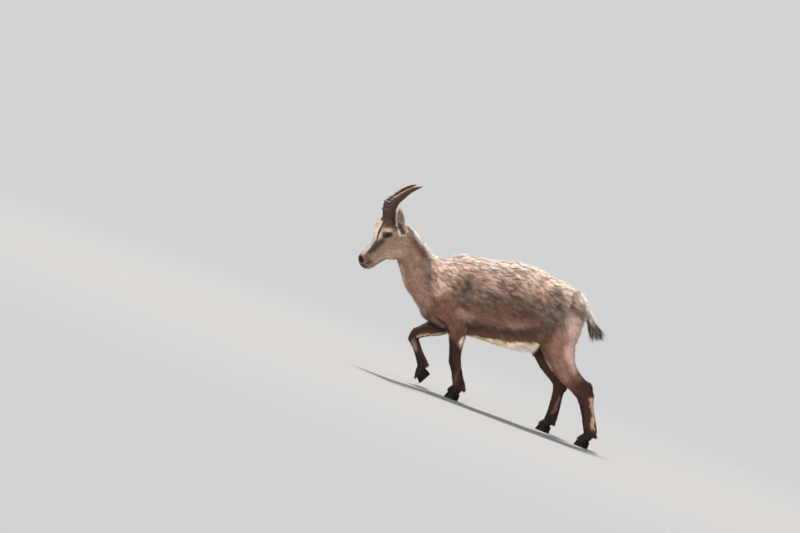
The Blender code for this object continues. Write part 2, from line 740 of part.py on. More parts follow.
def lid_cutter(side, where):
    """The almond opening between the lids, as a short tapered bar out of the socket."""
    long_half, high_half = EYE_OPENING
    tilt = Matrix.Rotation(math.radians(-12), 4, "Y")
    rings = []
    for out, size in ((4.0, 0.8), (15.0, 1.0), (40.0, 1.5)):
        ring = []
        for step in range(16):
            angle = 2 * math.pi * step / 16
            across = math.cos(angle)
            height = math.sin(angle) * (1 - 0.25 * across * across)
            ring.append(Vector((across * long_half * size, side * out, height * high_half * size)))
        rings.append(ring)
    return add_object("lids", loft(rings, eye_matrix(side) @ tilt), where)


def mouth_cutter(where):
    """A thin horseshoe that presses the line of the mouth into the muzzle."""
    front, corner = Vector((-694, 0, 563)), Vector((-632, 0, 601))
    along = (corner - front).normalized()
    length = (corner - front).length
    normal = Vector((-along.z, 0, along.x))
    outer, inner = [], []
    for step in range(17):
        angle = math.pi * step / 16
        outer.append((-math.cos(angle) * 45, length - math.sin(angle) * (length + 20)))
        inner.append((-math.cos(angle) * 17, length - math.sin(angle) * (length - 16)))
    outline = [(across, forward) for across, forward in outer]
    outline += [(across, forward) for across, forward in reversed(inner)]
    rings = []
    for lift in (-1.2, 1.2):
        rings.append([front + along * forward + Vector((0, across, 0)) + normal * lift
                      for across, forward in outline])
    return add_object("mouth", loft(rings, HEAD_TURN), where)


def nostril_cutters(where):
    cutters = []
    for side in (-1, 1):
        mesh = ellipsoid((-684, side * 17, 604), (11, 7, 5), -38, HEAD_TURN, segments=12)
        cutters.append(add_object("nostril", mesh, where))
    return cutters


def head_object(where):
    forms = [neck_form(), head_form()] + mirrored_masses(HEAD_MASSES, HEAD_TURN)
    forms += [horn_core(side) for side in (-1, 1)] + [ear_boss(side) for side in (-1, 1)]
    body = melt("head", forms, where, **HEAD_MELT)
    cutters = [sheet(CUTS["head"], where), mouth_cutter(where)] + nostril_cutters(where)
    for side in (-1, 1):
        root, tip, axis, opening, flank = ear_frame(side)
        cutters.append(trim_above(root - axis * GAP / 2, axis, EAR_TRIM, where))
        cutters.append(ball("socket", side, EYE_RADIUS + GAP, where))
        cutters.append(lid_cutter(side, where))
        point, normal = horn_plane(side, -GAP)
        cutters.append(trim_above(point, normal, HORN_TRIM, where))
    for cutter in cutters:
        boolean(body, "DIFFERENCE", [cutter])
    return pick(islands(body.data), HEAD_TURN @ Vector((-640, 0, 640)))


def trunk_objects(where):
    forms = [torso_form(), neck_form(), head_form()] + mirrored_masses(BODY_MASSES)
    forms += [leg_form(name) for name in LEGS]
    body = melt("trunk", forms, where, **TRUNK_MELT)
    cuts = ("head", "neck", "foreleg_left", "foreleg_right", "hindleg_left", "hindleg_right")
    boolean(body, "DIFFERENCE", node_sheets(where, cuts))
    pieces = islands(body.data)
    back, nape = BODY_TURN @ Vector((100, 0, 780)), BODY_TURN @ Vector((-400, 0, 770))
    return pick(pieces, back), pick(pieces, nape)


def leg_objects(where):
    forms = [torso_form()] + mirrored_masses(BODY_MASSES)
    for name, leg in LEGS.items():
        forms += [leg_form(name)] + hock_form(leg) + dewclaw_forms(leg)
    body = melt("legs", forms, where, **LEG_MELT)
    names = ("foreleg_left", "foreleg_right", "hindleg_left", "hindleg_right")
    boolean(body, "DIFFERENCE", node_sheets(where, names))
    boolean(body, "DIFFERENCE", leg_sheets(where))
    pieces = islands(body.data)
    found = {}
    for name, leg in LEGS.items():
        joints, across, side = leg["joints"], leg["across"], leg["side"]
        low = Vector(joints[-2]).lerp(Vector(joints[-1]), 0.5)
        high = Vector(joints[-3]).lerp(Vector(joints[-2]), 0.7)
        for part, place in (("_upper", high), ("_lower", low)):
            seed = BODY_TURN @ Vector((place.x, side * across[-2], place.y))
            found[name + part] = pick(pieces, seed)
    return found


def main():
    clear_scene()
    ibex = collection("alpine_ibex")
    shop = collection("workshop")
    coat = material("coat", FLESH_COLOUR, 0.9)
    dark = material("dark_hair", DARK_COLOUR, 0.85)
    keratin = material("horn", HORN_COLOUR, 0.5)
    hoof = material("hoof", HOOF_COLOUR, 0.45)
    wet = material("eye", EYE_COLOUR, 0.08)

    nodes = {}
    torso, nodes["neck"] = trunk_objects(shop)
    nodes["torso"] = torso
    nodes["head"] = head_object(shop)
    nodes.update(leg_objects(shop))
    nodes["tail"] = tail_object(torso, shop)
    for side, word in ((-1, "left"), (1, "right")):
        nodes["ear_" + word] = ear(side)
        nodes["horn_" + word] = horn(side)
        nodes["eye_" + word] = ball("eye", side, EYE_RADIUS, shop).data
    for name in LEGS:
        for step, word in ((-1, "a"), (1, "b")):
            nodes[name.replace("leg", "_hoof") + "_" + word] = claw(name, step)

    torso_body = add_object("torso_body", nodes["torso"], shop)
    boolean(torso_body, "UNION", fringe_locks(shop))
    nodes["torso"] = islands(torso_body.data)[0]

    for item in list(shop.objects):
        bpy.data.objects.remove(item, do_unlink=True)
    bpy.data.collections.remove(shop)

    made = []
    for name, mesh in nodes.items():
        item = scaled_object(name, mesh, ibex)
        finish = coat
        if "hoof" in name:
            finish = hoof
        elif "horn" in name:
            finish = keratin
        elif "eye" in name:
            finish = wet
        elif name.endswith("_lower"):
            finish = dark
        item.data.materials.clear()
        item.data.materials.append(finish)
        made.append(item)

    points = np.concatenate([[vert.co for vert in item.data.vertices] for item in made])
    middle = (points.min(axis=0) + points.max(axis=0)) / 2
    shift = Matrix.Translation((-middle[0], -middle[1], 0.0))
    for item in made:
        item.data.transform(shift)


main()
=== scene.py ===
import math

import bmesh
import bpy
import numpy as np
from mathutils import Matrix, Vector


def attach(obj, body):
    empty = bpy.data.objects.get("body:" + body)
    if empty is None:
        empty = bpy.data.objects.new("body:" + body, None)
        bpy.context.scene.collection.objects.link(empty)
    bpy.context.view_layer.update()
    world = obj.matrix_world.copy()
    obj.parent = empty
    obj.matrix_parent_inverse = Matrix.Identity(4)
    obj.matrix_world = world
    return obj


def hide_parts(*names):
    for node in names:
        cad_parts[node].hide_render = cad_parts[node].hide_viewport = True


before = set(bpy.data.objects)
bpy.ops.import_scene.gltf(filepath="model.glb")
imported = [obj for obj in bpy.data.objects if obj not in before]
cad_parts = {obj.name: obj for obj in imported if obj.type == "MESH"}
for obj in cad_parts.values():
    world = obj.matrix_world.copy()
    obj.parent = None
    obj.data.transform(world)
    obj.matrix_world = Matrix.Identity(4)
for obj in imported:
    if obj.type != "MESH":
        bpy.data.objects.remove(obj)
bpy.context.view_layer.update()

# The figure was drawn in millimetres in its own frame: x to the rear, z up.
SHIFT = (16.495, -0.082, 0.0)  # millimetres from the drawn frame's origin to the frame's
PIVOT_X = -46.0
PITCH = 6.5                # degrees the drawn figure is tipped onto its forefeet
HEAD_YAW, HEAD_PIVOT, HEAD_REACH = 12.0, (-480.0, 0.0, 760.0), -14.0
PX, DRAWN_ROLL = 5.25, 14.0          # millimetres per pixel of the side view, its roll
SIDE_ORIGIN = (460.0, 401.0)         # where the drawn frame's origin is in the side view
VIEW_SWING = 5.0                     # degrees the camera stands ahead of square

FINE_CELL = 0.0019         # metres between points of the skin
ROOT_SHARE = 1.0
SEED = 20


def turned_about(pivot, degrees, axis):
    pivot = Vector(pivot)
    turn = Matrix.Rotation(math.radians(degrees), 4, axis)
    return Matrix.Translation(pivot) @ turn @ Matrix.Translation(-pivot)


TO_METRES = Matrix.Scale(0.001, 4) @ Matrix.Translation(SHIFT)
BODY_TURN = TO_METRES @ turned_about((PIVOT_X, 0, 0), -PITCH, "Y")
HEAD_TURN = (BODY_TURN @ Matrix.Translation((HEAD_REACH, 0, 0))
             @ turned_about(HEAD_PIVOT, HEAD_YAW, "Z"))


def placed(matrix, points):
    """Points of one frame in another."""
    rows = np.array(matrix)
    return points @ rows[:3, :3].T + rows[:3, 3]


def side_view(drawn):
    """Pixels right and down in the side view, of points in the drawn frame."""
    c, s = math.cos(math.radians(DRAWN_ROLL)), math.sin(math.radians(DRAWN_ROLL))
    swing = math.tan(math.radians(VIEW_SWING))
    u = SIDE_ORIGIN[0] + (drawn[:, 0] * c + drawn[:, 2] * s + np.abs(drawn[:, 1]) * swing) / PX
    v = SIDE_ORIGIN[1] + (drawn[:, 0] * s - drawn[:, 2] * c) / PX
    return np.stack([u, v], 1)


def rgb(red, green, blue):
    """A colour as a picture gives it, 0 to 255, turned into light."""
    value = np.array([red, green, blue]) / 255.0
    return np.where(value <= 0.04045, value / 12.92, ((value + 0.055) / 1.055) ** 2.4)


def ramp(value, low, high):
    share = np.clip((value - low) / (high - low), 0, 1)
    return share * share * (3 - 2 * share)


# ---- noise, the same for skin and coat
def hashed(cells, salt):
    mixed = cells[..., 0] * 374761393 + cells[..., 1] * 668265263 + cells[..., 2] * 2147483647
    mixed = (mixed + salt * 974634777) & 0xFFFFFFFF
    mixed = ((mixed ^ (mixed >> 13)) * 1274126177) & 0xFFFFFFFF
    mixed = ((mixed ^ (mixed >> 16)) * 2246822519) & 0xFFFFFFFF
    return ((mixed ^ (mixed >> 15)) & 0xFFFFFF) / float(0xFFFFFF)


def noise(points, size, salt=0):
    """Smooth noise from 0 to 1 with lumps of a size in metres."""
    place = points / size
    cell = np.floor(place).astype(np.int64)
    part = place - cell
    part = part * part * (3 - 2 * part)
    total = np.zeros(len(points))
    for corner in range(8):
        step = np.array([corner & 1, corner >> 1 & 1, corner >> 2 & 1])
        weight = np.prod(np.where(step, part, 1 - part), axis=1)
        total += weight * hashed(cell + step, salt)
    return total


def clumps(points, size, salt):
    """For each point the middle of its nearest clump, and a number drawn for that clump."""
    cell = np.floor(points / size).astype(np.int64)
    best = np.full(len(points), 1e9)
    middle, drawn = np.zeros_like(points), np.zeros(len(points))
    for i in (-1, 0, 1):
        for j in (-1, 0, 1):
            for k in (-1, 0, 1):
                other = cell + np.array([i, j, k])
                spread = np.stack([hashed(other, salt + axis) for axis in (1, 2, 3)], 1)
                place = (other + spread) * size
                away = ((place - points) ** 2).sum(1)
                near = away < best
                best[near] = away[near]
                middle[near] = place[near]
                drawn[near] = hashed(other, salt + 7)[near]
    return middle, drawn


# ---- markings, painted light and painted shade: soft strokes laid over one another in the side view
TAUPE = rgb(102, 70, 54)
CREAM, CHALK = rgb(224, 203, 186), rgb(250, 241, 232)
STROKES = [
    # colour, strength, half width, softness, points (pixels right and down)
    (rgb(168, 128, 108), 0.85, 12, 14, [(440, 272), (470, 268), (520, 276), (560, 292)]),
    (rgb(216, 184, 166), 0.82, 9.5, 13, [(436, 260), (470, 257), (520, 265), (556, 280), (573, 290)]),
    # paler front of the shoulder: partly a paler clump of the coat, partly painted sunlight
    (rgb(212, 180, 162), 0.65, 7, 12, [(444, 268), (440, 288)]),
    (rgb(108, 75, 59), 0.85, 9, 9, [(446, 298), (446, 320)]),
    # painted shade behind the shoulder
    (rgb(52, 36, 29), 0.85, 4.8, 10, [(468, 278), (466, 294), (464, 301)]),
    (rgb(146, 117, 103), 0.75, 3.6, 8, [(459, 309), (469, 315)]),
    (rgb(140, 110, 98), 0.6, 3.6, 8, [(508, 321), (528, 321.5)]),
    (rgb(80, 54, 42), 0.85, 10, 13, [(486, 300), (510, 306), (536, 310)]),
    (rgb(60, 41, 32), 0.85, 8.0, 12, [(556, 297), (553, 313), (546, 328)]),
    (rgb(138, 108, 94), 0.85, 7.5, 10, [(562, 332), (557, 347), (562, 363), (569, 376)]),
    (rgb(204, 174, 162), 0.9, 7.5, 10, [(573, 320), (577, 336), (573, 352)]),
    (rgb(206, 176, 162), 0.9, 4.6, 7, [(571, 350), (575, 366), (582, 378)]),
    (rgb(50, 33, 25), 0.9, 4.2, 8.5, [(470, 324), (492, 328.5), (515, 331), (532, 330)]),
    (rgb(246, 226, 198), 1.0, 7.5, 2.2, [(466, 342), (492, 345), (512, 346.5), (529, 346)]),
    (CHALK, 1.0, 7, 4, [(506, 349), (529, 348)]),
    (rgb(141, 111, 95), 0.9, 13, 9, [(402, 232), (406, 262), (416, 300)]),
    (rgb(84, 58, 45), 0.85, 3.2, 7, [(411, 235), (421, 249), (428, 262), (431, 274)]),
    (rgb(200, 172, 152), 0.85, 3, 5, [(399, 266), (403, 288), (415, 306)]),
    # painted rim light along the nape
    (CHALK, 0.75, 2.2, 3.2, [(404, 217), (419, 238), (430, 252), (448, 256)]),
    (rgb(143, 117, 104), 1.0, 14, 6, [(372, 262), (384, 250), (394, 240)]),
    (rgb(174, 146, 126), 0.85, 4, 5, [(378, 262), (388, 257), (397, 252)]),
    # painted light on the forehead
    (rgb(242, 222, 211), 0.94, 4.8, 4.4, [(378, 222), (375.5, 236)]),
    (rgb(204, 180, 166), 0.85, 1.7, 2, [(384, 229.5), (390, 229.5)]),
    (rgb(46, 32, 27), 0.95, 0.8, 1.2, [(384, 221), (379.5, 231), (376, 241)]),
    (rgb(34, 28, 28), 0.9, 3.5, 6.4, [(381, 240.5), (375.5, 246), (370, 251)]),
    (rgb(62, 50, 48), 0.7, 1.4, 3.0, [(376, 246), (371.5, 249)]),
    # painted rim light along the bridge of the nose
    (rgb(204, 188, 180), 0.9, 1.2, 1.8, [(375.2, 238.5), (370, 246.5), (363, 253.5)]),
    (rgb(88, 74, 70), 0.9, 3.4, 4.5, [(366, 257), (370, 261.5)]),
    (rgb(18, 14, 14), 1.0, 2.0, 1.2, [(360.5, 257), (362.5, 260.5)]),
    (rgb(26, 20, 19), 1.0, 0.55, 1.1, [(361, 264.4), (366, 263.5), (371, 260.5)]),
    (rgb(60, 48, 45), 0.9, 1.1, 1.4, [(363, 266), (367, 266)]),
    (rgb(206, 184, 166), 0.8, 1.2, 1.8, [(364, 268.5), (372, 269), (380, 265), (392, 259)]),
    (rgb(46, 34, 29), 0.95, 2.4, 2.2, [(384.4, 235.2), (389.5, 234.2)]),
    (rgb(80, 60, 50), 0.85, 3.6, 4, [(385, 220.5), (391, 223), (397, 226)]),
    (CREAM, 0.9, 4.2, 1.5, [(401.5, 226), (402, 231.5)]),
    # painted shade in the opening at the root of the ear
    (rgb(70, 58, 55), 0.95, 2.2, 1.5, [(401.3, 227), (402, 231.5)]),
    (rgb(50, 29, 20), 1.0, 13, 8, [(450, 349), (453, 362), (452, 392)]),
    (rgb(30, 19, 15), 0.85, 3, 5, [(449, 352), (449, 375), (449, 396)]),
    (rgb(88, 56, 42), 0.6, 1.6, 3, [(458, 352), (457, 372), (455, 388)]),
    (rgb(150, 121, 107), 0.75, 1.4, 3.0, [(466, 328), (465, 340), (463, 351)]),
    (rgb(180, 154, 138), 0.6, 0.9, 2.0, [(462.5, 343), (462, 354), (460.5, 366)]),
    (rgb(60, 37, 27), 1.0, 12, 6, [(436, 330), (414, 332), (410, 344), (414, 372), (424, 384)]),
    (rgb(128, 103, 88), 0.85, 2.6, 3, [(431, 318), (436, 321), (442, 325)]),
    # painted shade: dark lines along the fold of the elbow
    (rgb(34, 24, 20), 0.95, 1.4, 1.6, [(426, 320), (433, 326), (447, 329.5)]),
    (rgb(40, 28, 23), 0.9, 1.1, 1.5, [(436, 315.5), (441, 319), (445, 323.5)]),
    (rgb(110, 78, 62), 0.7, 1.8, 3, [(421, 333), (434, 331)]),
    (rgb(220, 192, 162), 0.9, 1.1, 1.6, [(420, 336), (430, 335), (440, 334), (448, 333)]),
    (rgb(160, 134, 120), 0.8, 2.0, 3, [(416, 341), (417.5, 350)]),
    (rgb(30, 21, 19), 0.92, 7, 6, [(418, 357), (421, 367), (424, 380)]),
    (rgb(84, 55, 41), 0.8, 12, 12, [(582, 380), (586, 388)]),
    (rgb(66, 41, 29), 1.0, 13, 10, [(588, 391), (590, 402), (588, 436)]),
    (rgb(54, 33, 24), 1.0, 13, 10, [(548, 360), (560, 386)], 2),
    (rgb(54, 33, 24), 1.0, 13, 10, [(560, 388), (560, 404), (546, 428)], 1, 2),
    (rgb(166, 143, 118), 0.85, 1.3, 2.2, [(539, 347), (544, 356), (550, 368), (557, 380), (567, 390)], -1, -2),
    (rgb(48, 33, 27), 0.85, 2.8, 4, [(578, 396), (584, 414), (584, 434)]),
    (rgb(212, 178, 150), 0.95, 1.8, 3, [(591, 398), (594, 412), (594, 426)]),
    (rgb(150, 116, 96), 0.6, 1.0, 2.4, [(563, 398), (556, 414)]),
    (rgb(28, 22, 21), 0.9, 5, 5, [(588, 434), (582, 442)]),
    (rgb(28, 22, 21), 0.9, 5, 5, [(552, 420), (544, 430)]),
    (rgb(28, 22, 21), 0.9, 5, 5, [(456, 392), (450, 402)]),
    (rgb(34, 23, 19), 0.8, 3.4, 4, [(450, 368), (452, 380), (453, 392)]),
    (rgb(98, 64, 47), 0.6, 1.0, 2.2, [(456, 370), (456, 384)]),
    (CHALK, 0.7, 2.4, 4, [(587, 312), (585, 322), (582, 332)]),
    (CHALK, 0.9, 3.4, 3.0, [(581, 295), (590, 308), (598, 324)]),
    (rgb(60, 42, 34), 0.9, 1.6, 1.8, [(585, 314), (589, 324), (592, 332)], 0),
    (rgb(44, 31, 26), 0.97, 6.5, 4, [(594, 328), (601, 336), (608, 344)], 0),
]
MARK_DRIFT = 1.3           # pixels the strokes' edges wander


def coat_colour(view, side):
    """Colour of skin and coat at places in the side view."""
    colour = np.tile(TAUPE, (len(view), 1))
    flat = np.column_stack([view, np.zeros(len(view))])
    drift = np.stack([noise(flat, 5.0, salt) + 0.5 * noise(flat, 1.7, salt + 2) for salt in (41, 42)], 1)
    face = ramp(view[:, 0], 398, 412)[:, None]
    view = view + (drift - 0.75) * 2 * MARK_DRIFT * (0.15 + 0.85 * face)
    for tone, strength, half_width, soft, path, *only in STROKES:
        nearest = np.full(len(view), 1e9)
        for first, second in zip(path, path[1:]):
            a, b = np.array(first, float), np.array(second, float)
            share = np.clip(((view - a) @ (b - a)) / ((b - a) @ (b - a)), 0, 1)
            nearest = np.minimum(nearest, np.linalg.norm(view - a - share[:, None] * (b - a), axis=1))
        weight = strength * (1 - ramp(nearest, half_width - soft / 2, half_width + soft / 2))
        if only:
            weight = weight * np.isin(side, only)
        colour += weight[:, None] * (tone - colour)
    return colour


# ---- coat: what it is like at places in the side view, blended between them
# pixels right and down, length mm, lift degrees, lie (0 rearwards, 90 down), shagginess
COAT = [
    (361, 259, 2.5, 14, 10, 0), (368, 268, 7, 22, 20, 0), (372, 244, 5, 14, -30, 0),
    (380, 252, 7, 14, 10, 0), (390, 255, 9, 16, 30, 0), (379, 226, 12, 32, -60, 0),
    (386, 228, 6, 14, -20, 0), (397, 228, 9, 18, 10, 0), (396, 244, 9, 16, 40, 0),
    (404, 222, 20, 32, 30, 0.2), (399, 262, 14, 20, 60, 0), (410, 245, 18, 18, 55, 0.1),
    (412, 231, 28, 33, 40, 0.3), (424, 246, 30, 33, 38, 0.3), (404, 285, 22, 22, 62, 0.1),
    (418, 308, 26, 24, 60, 0.2), (420, 275, 20, 16, 58, 0.2), (440, 256, 24, 22, 25, 0.5),
    (436, 275, 24, 18, 60, 0.7), (448, 272, 26, 18, 45, 1.0), (438, 300, 20, 12, 70, 0.1),
    (430, 322, 18, 16, 60, 0.1), (452, 318, 18, 12, 75, 0.1), (470, 256, 30, 24, 15, 0.9),
    (468, 282, 24, 12, 45, 0.4), (490, 275, 28, 16, 32, 1.0), (520, 280, 28, 15, 32, 0.9),
    (505, 262, 30, 24, 14, 1.0), (550, 278, 28, 20, 35, 1.0), (545, 300, 26, 13, 45, 0.55),
    (500, 308, 22, 9, 34, 0.12), (530, 316, 22, 9, 45, 0.1), (475, 316, 20, 9, 45, 0.1),
    (490, 338, 24, 16, 30, 0.1), (515, 342, 46, 26, 42, 0.1), (532, 343, 40, 24, 45, 0.1), (543, 352, 14, 8, 60, 0),
    (565, 300, 26, 20, 55, 0.8), (575, 291, 34, 30, 48, 0.9), (585, 302, 40, 32, 60, 0.8),
    (588, 320, 30, 26, 78, 0.3),
    (565, 335, 20, 10, 75, 0.0), (550, 345, 18, 12, 60, 0), (582, 345, 20, 18, 85, 0.1),
    (556, 362, 14, 12, 50, 0), (575, 362, 15, 12, 55, 0), (590, 384, 14, 18, 62, 0),
    (580, 395, 13, 15, 82, 0), (586, 420, 12, 15, 90, 0), (582, 438, 20, 5, 92, 0),
    (562, 395, 13, 15, 95, 0), (552, 418, 12, 15, 105, 0), (545, 430, 20, 5, 100, 0),
    (455, 335, 16, 12, 85, 0), (454, 360, 14, 15, 90, 0), (452, 385, 12, 14, 95, 0),
    (451, 396, 20, 5, 92, 0), (430, 335, 14, 12, 150, 0), (412, 335, 11, 12, 160, 0),
    (413, 355, 12, 14, 80, 0), (421, 370, 18, 6, 80, 0), (594, 312, 52, 34, 52, 0),
    (600, 326, 58, 24, 48, 0), (606, 338, 80, 18, 38, 0),
]
COAT_FALL = 3.2            # how fast a place loses its say with distance


def coat_at(view):
    """Length in metres, lift, lie and shagginess at places in the side view."""
    table = np.array(COAT, float)
    total, weights = np.zeros((len(view), 5)), np.zeros(len(view))
    lie = np.radians(table[:, 4])
    for row, angle in zip(table, lie):
        away = np.linalg.norm(view - row[:2], axis=1) + 1.0
        weight = away ** -COAT_FALL
        weights += weight
        total += weight[:, None] * np.array([row[2], row[3], math.cos(angle), math.sin(angle), row[5]])
    total /= weights[:, None]
    lie = np.arctan2(total[:, 3], total[:, 2])
    return total[:, 0] * 0.001, np.radians(total[:, 1]), lie, total[:, 4]


def lie_direction(angle):
    """Directions in the drawn frame of lies given in the side view."""
    c, s = math.cos(math.radians(DRAWN_ROLL)), math.sin(math.radians(DRAWN_ROLL))
    right, down = np.array([c, 0, s]), np.array([s, 0, -c])
    return np.cos(angle)[:, None] * right + np.sin(angle)[:, None] * down


# ---- meshes from arrays
def new_object(name, points, faces, smooth=True):
    mesh = bpy.data.meshes.new(name)
    mesh.from_pydata(points.tolist() if isinstance(points, np.ndarray) else points, [], faces)
    if smooth:
        mesh.shade_smooth()
    made = bpy.data.objects.new(name, mesh)
    bpy.context.scene.collection.objects.link(made)
    return made


def quick_mesh(name, points, corners, sides):
    """A mesh from flat arrays: points, corner indices and the size of each face."""
    mesh = bpy.data.meshes.new(name)
    mesh.vertices.add(len(points))
    mesh.vertices.foreach_set("co", points.astype(np.float32).ravel())
    mesh.loops.add(len(corners))
    mesh.loops.foreach_set("vertex_index", corners.astype(np.int32))
    starts = np.concatenate([[0], np.cumsum(sides)[:-1]])
    mesh.polygons.add(len(sides))
    mesh.polygons.foreach_set("loop_start", starts.astype(np.int32))
    mesh.update(calc_edges=True)
    mesh.validate()
    return mesh


def points_of(mesh):
    flat = np.empty(len(mesh.vertices) * 3, np.float32)
    mesh.vertices.foreach_get("co", flat)
    return flat.reshape(-1, 3).astype(float)


def normals_of(mesh):
    flat = np.empty(len(mesh.vertices) * 3, np.float32)
    mesh.vertices.foreach_get("normal", flat)
    return flat.reshape(-1, 3).astype(float)


def set_points(mesh, points):
    mesh.vertices.foreach_set("co", points.astype(np.float32).ravel())
    mesh.update()


def edges_of(mesh):
    flat = np.empty(len(mesh.edges) * 2, np.int32)
    mesh.edges.foreach_get("vertices", flat)
    return flat.reshape(-1, 2)


def paint(mesh, colours):
    """Colours of a mesh's points, which its material reads."""
    layer = mesh.color_attributes.new("tint", "FLOAT_COLOR", "POINT")
    full = np.ones((len(colours), 4), np.float32)
    full[:, :3] = colours
    layer.data.foreach_set("color", full.ravel())


def relaxed(values, edges, passes, weight=0.5):
    """Values of points, each drawn towards its neighbours' middle."""
    values = values.copy()
    flat = values.ndim == 1
    if flat:
        values = values[:, None]
    count = len(values)
    share = np.bincount(edges.ravel(), minlength=count)[:, None].clip(1)
    weight = np.broadcast_to(np.asarray(weight, float).reshape(-1, 1), (count, 1))
    for _ in range(passes):
        total = np.stack([np.bincount(edges[:, 0], values[edges[:, 1], axis], count)
                          + np.bincount(edges[:, 1], values[edges[:, 0], axis], count)
                          for axis in range(values.shape[1])], 1)
        values += weight * (total / share - values)
    return values[:, 0] if flat else values


def settled(body):
    """The mesh that an object's modifiers make."""
    graph = bpy.context.evaluated_depsgraph_get()
    made = bpy.data.meshes.new_from_object(body.evaluated_get(graph))
    bpy.data.objects.remove(body, do_unlink=True)
    return made


def smooth_rows(rows, count):
    """Rows of numbers read off a smooth curve through the given ones."""
    rows = np.array(rows, float)
    padded = np.vstack([2 * rows[0] - rows[1], rows, 2 * rows[-1] - rows[-2]])
    out = []
    for share in np.linspace(0, len(rows) - 1, count):
        step = min(int(share), len(rows) - 2)
        t = share - step
        a, b, c, d = padded[step:step + 4]
        bend = 2 * a - 5 * b + 4 * c - d + t * (3 * (b - c) + d - a)
        out.append(b + 0.5 * t * (c - a + t * bend))
    return np.array(out)


def loft_faces(rings, sides):
    """Faces of a closed loft, its ends capped."""
    faces = []
    for ring in range(rings - 1):
        for step in range(sides):
            after = (step + 1) % sides
            low, high = ring * sides, (ring + 1) * sides
            faces.append((low + step, low + after, high + after, high + step))
    faces.append(tuple(reversed(range(sides))))
    faces.append(tuple(range((rings - 1) * sides, rings * sides)))
    return faces


# ---- the skin: one surface over all the flesh
FLESH = ["head", "neck", "torso", "ear_left", "ear_right"] + [
    leg + part for leg in ("foreleg_left", "foreleg_right", "hindleg_left", "hindleg_right")
    for part in ("_upper", "_lower")]
# Underside of the belly where the fringe hangs: x, underside, topline, half width
BELLY = [(20, 334, 763, 124), (100, 334, 775, 128), (160, 337, 781, 129), (220, 343, 776, 125),
         (280, 356, 762, 119), (330, 386, 748, 113), (380, 424, 736, 108)]
TAIL = [(440, 668, 14, 15), (480, 652, 17, 19), (514, 630, 17, 20), (548, 598, 16, 19),
        (576, 560, 15, 17), (594, 534, 13, 15), (609, 510, 7, 7)]
# Depth of the coat over the skin: pixels right and down, millimetres
DEPTH = [(362, 260, 0.4), (370, 264, 0.8), (372, 244, 1.0), (386, 250, 1.6), (386, 230, 1.0),
         (400, 224, 2.5), (399, 255, 3.0), (410, 240, 5.0), (404, 285, 6.0), (424, 250, 7.0),
         (420, 305, 7.0), (440, 280, 7.0), (470, 260, 9.0), (500, 290, 7.5), (540, 275, 9.0),
         (500, 325, 6.0), (515, 342, 8.0), (560, 320, 6.5), (585, 305, 8.0), (582, 345, 5.0),
         (560, 362, 1.0), (574, 366, -5.0), (584, 387, -10.0), (588, 405, -6.0), (588, 422, -5.0),
         (588, 438, 1.0), (455, 338, 4.0), (453, 352, 0.0), (453, 366, -3.5), (453, 382, -5.0),
         (450, 400, 0.8), (430, 335, 3.5), (412, 340, 2.2), (418, 372, 1.6), (560, 395, 2.2),
         (548, 425, 1.6)]


def without_fringe(points):
    """The torso's points, those of the fringe's locks drawn up to the belly."""
    drawn = placed(BODY_TURN.inverted(), points)
    table = np.array(BELLY, float)
    low, high, wide = (np.interp(drawn[:, 0], table[:, 0], table[:, column]) for column in (1, 2, 3))
    reach = np.sqrt(np.clip(1 - (drawn[:, 1] / wide) ** 2, 0, 1))
    floor = (low + high) / 2 - (high - low) / 2 * reach
    hangs = (drawn[:, 0] > 30) & (drawn[:, 0] < 360) & (np.abs(drawn[:, 1]) < 62)
    hangs &= drawn[:, 2] < floor + 1.0
    drawn[hangs, 2] = floor[hangs] + 2.5
    return placed(BODY_TURN, drawn)


def tail_core():
    rows = smooth_rows(TAIL, 24)
    sides, rings = 20, []
    for index, (x, z, deep, wide) in enumerate(rows):
        before, after = rows[max(index - 1, 0)], rows[min(index + 1, len(rows) - 1)]
        along = np.array([after[0] - before[0], 0, after[1] - before[1]])
        along /= np.linalg.norm(along)
        up = np.array([-along[2], 0, along[0]])
        for step in range(sides):
            angle = 2 * math.pi * step / sides
            rings.append(np.array([x, 0, z]) + up * deep * math.sin(angle)
                         + np.array([0, wide * math.cos(angle), 0]))
    return placed(BODY_TURN, np.array(rings)), loft_faces(len(rows), sides)


def largest_part(mesh):
    """The mesh's biggest closed surface."""
    edges = edges_of(mesh)
    label = np.arange(len(mesh.vertices))
    while True:
        least = np.minimum(label[edges[:, 0]], label[edges[:, 1]])
        after = label.copy()
        np.minimum.at(after, edges[:, 0], least)
        np.minimum.at(after, edges[:, 1], least)
        after = after[after]
        if (after == label).all():
            break
        label = after
    names, counts = np.unique(label, return_counts=True)
    keep = label == names[counts.argmax()]
    corners = np.empty(len(mesh.loops), np.int32)
    mesh.loops.foreach_get("vertex_index", corners)
    quads = corners.reshape(-1, 4)
    quads = quads[keep[quads[:, 0]]]
    renumber = np.cumsum(keep) - 1
    return quick_mesh("skin", points_of(mesh)[keep], renumber[quads].ravel(), np.full(len(quads), 4))


def blend_of(view, table, fall=3.0):
    """A number blended between the places of a table."""
    total, weights = np.zeros(len(view)), np.zeros(len(view))
    for u, v, value in table:
        weight = (np.hypot(view[:, 0] - u, view[:, 1] - v) + 1.0) ** -fall
        total += weight * value
        weights += weight
    return total / weights


EAR_ROOT, EAR_TIP = (-523, 54, 798), (-569, 86, 908)
EYE_CENTRE, EYE_RADIUS = (-594, 41, 755), 15.5


def ear_share(head_drawn):
    """How far up an ear a point is, and how far from the ear's axis, in millimetres."""
    best = np.full(len(head_drawn), 1e9)
    share = np.zeros(len(head_drawn))
    folded = head_drawn * np.array([1, 1, 1])
    folded[:, 1] = np.abs(folded[:, 1])
    root, tip = np.array(EAR_ROOT, float), np.array(EAR_TIP, float)
    along = tip - root
    share = ((folded - root) @ along) / (along @ along)
    best = np.linalg.norm(folded - root - np.clip(share, 0, 1)[:, None] * along, axis=1)
    return share, best


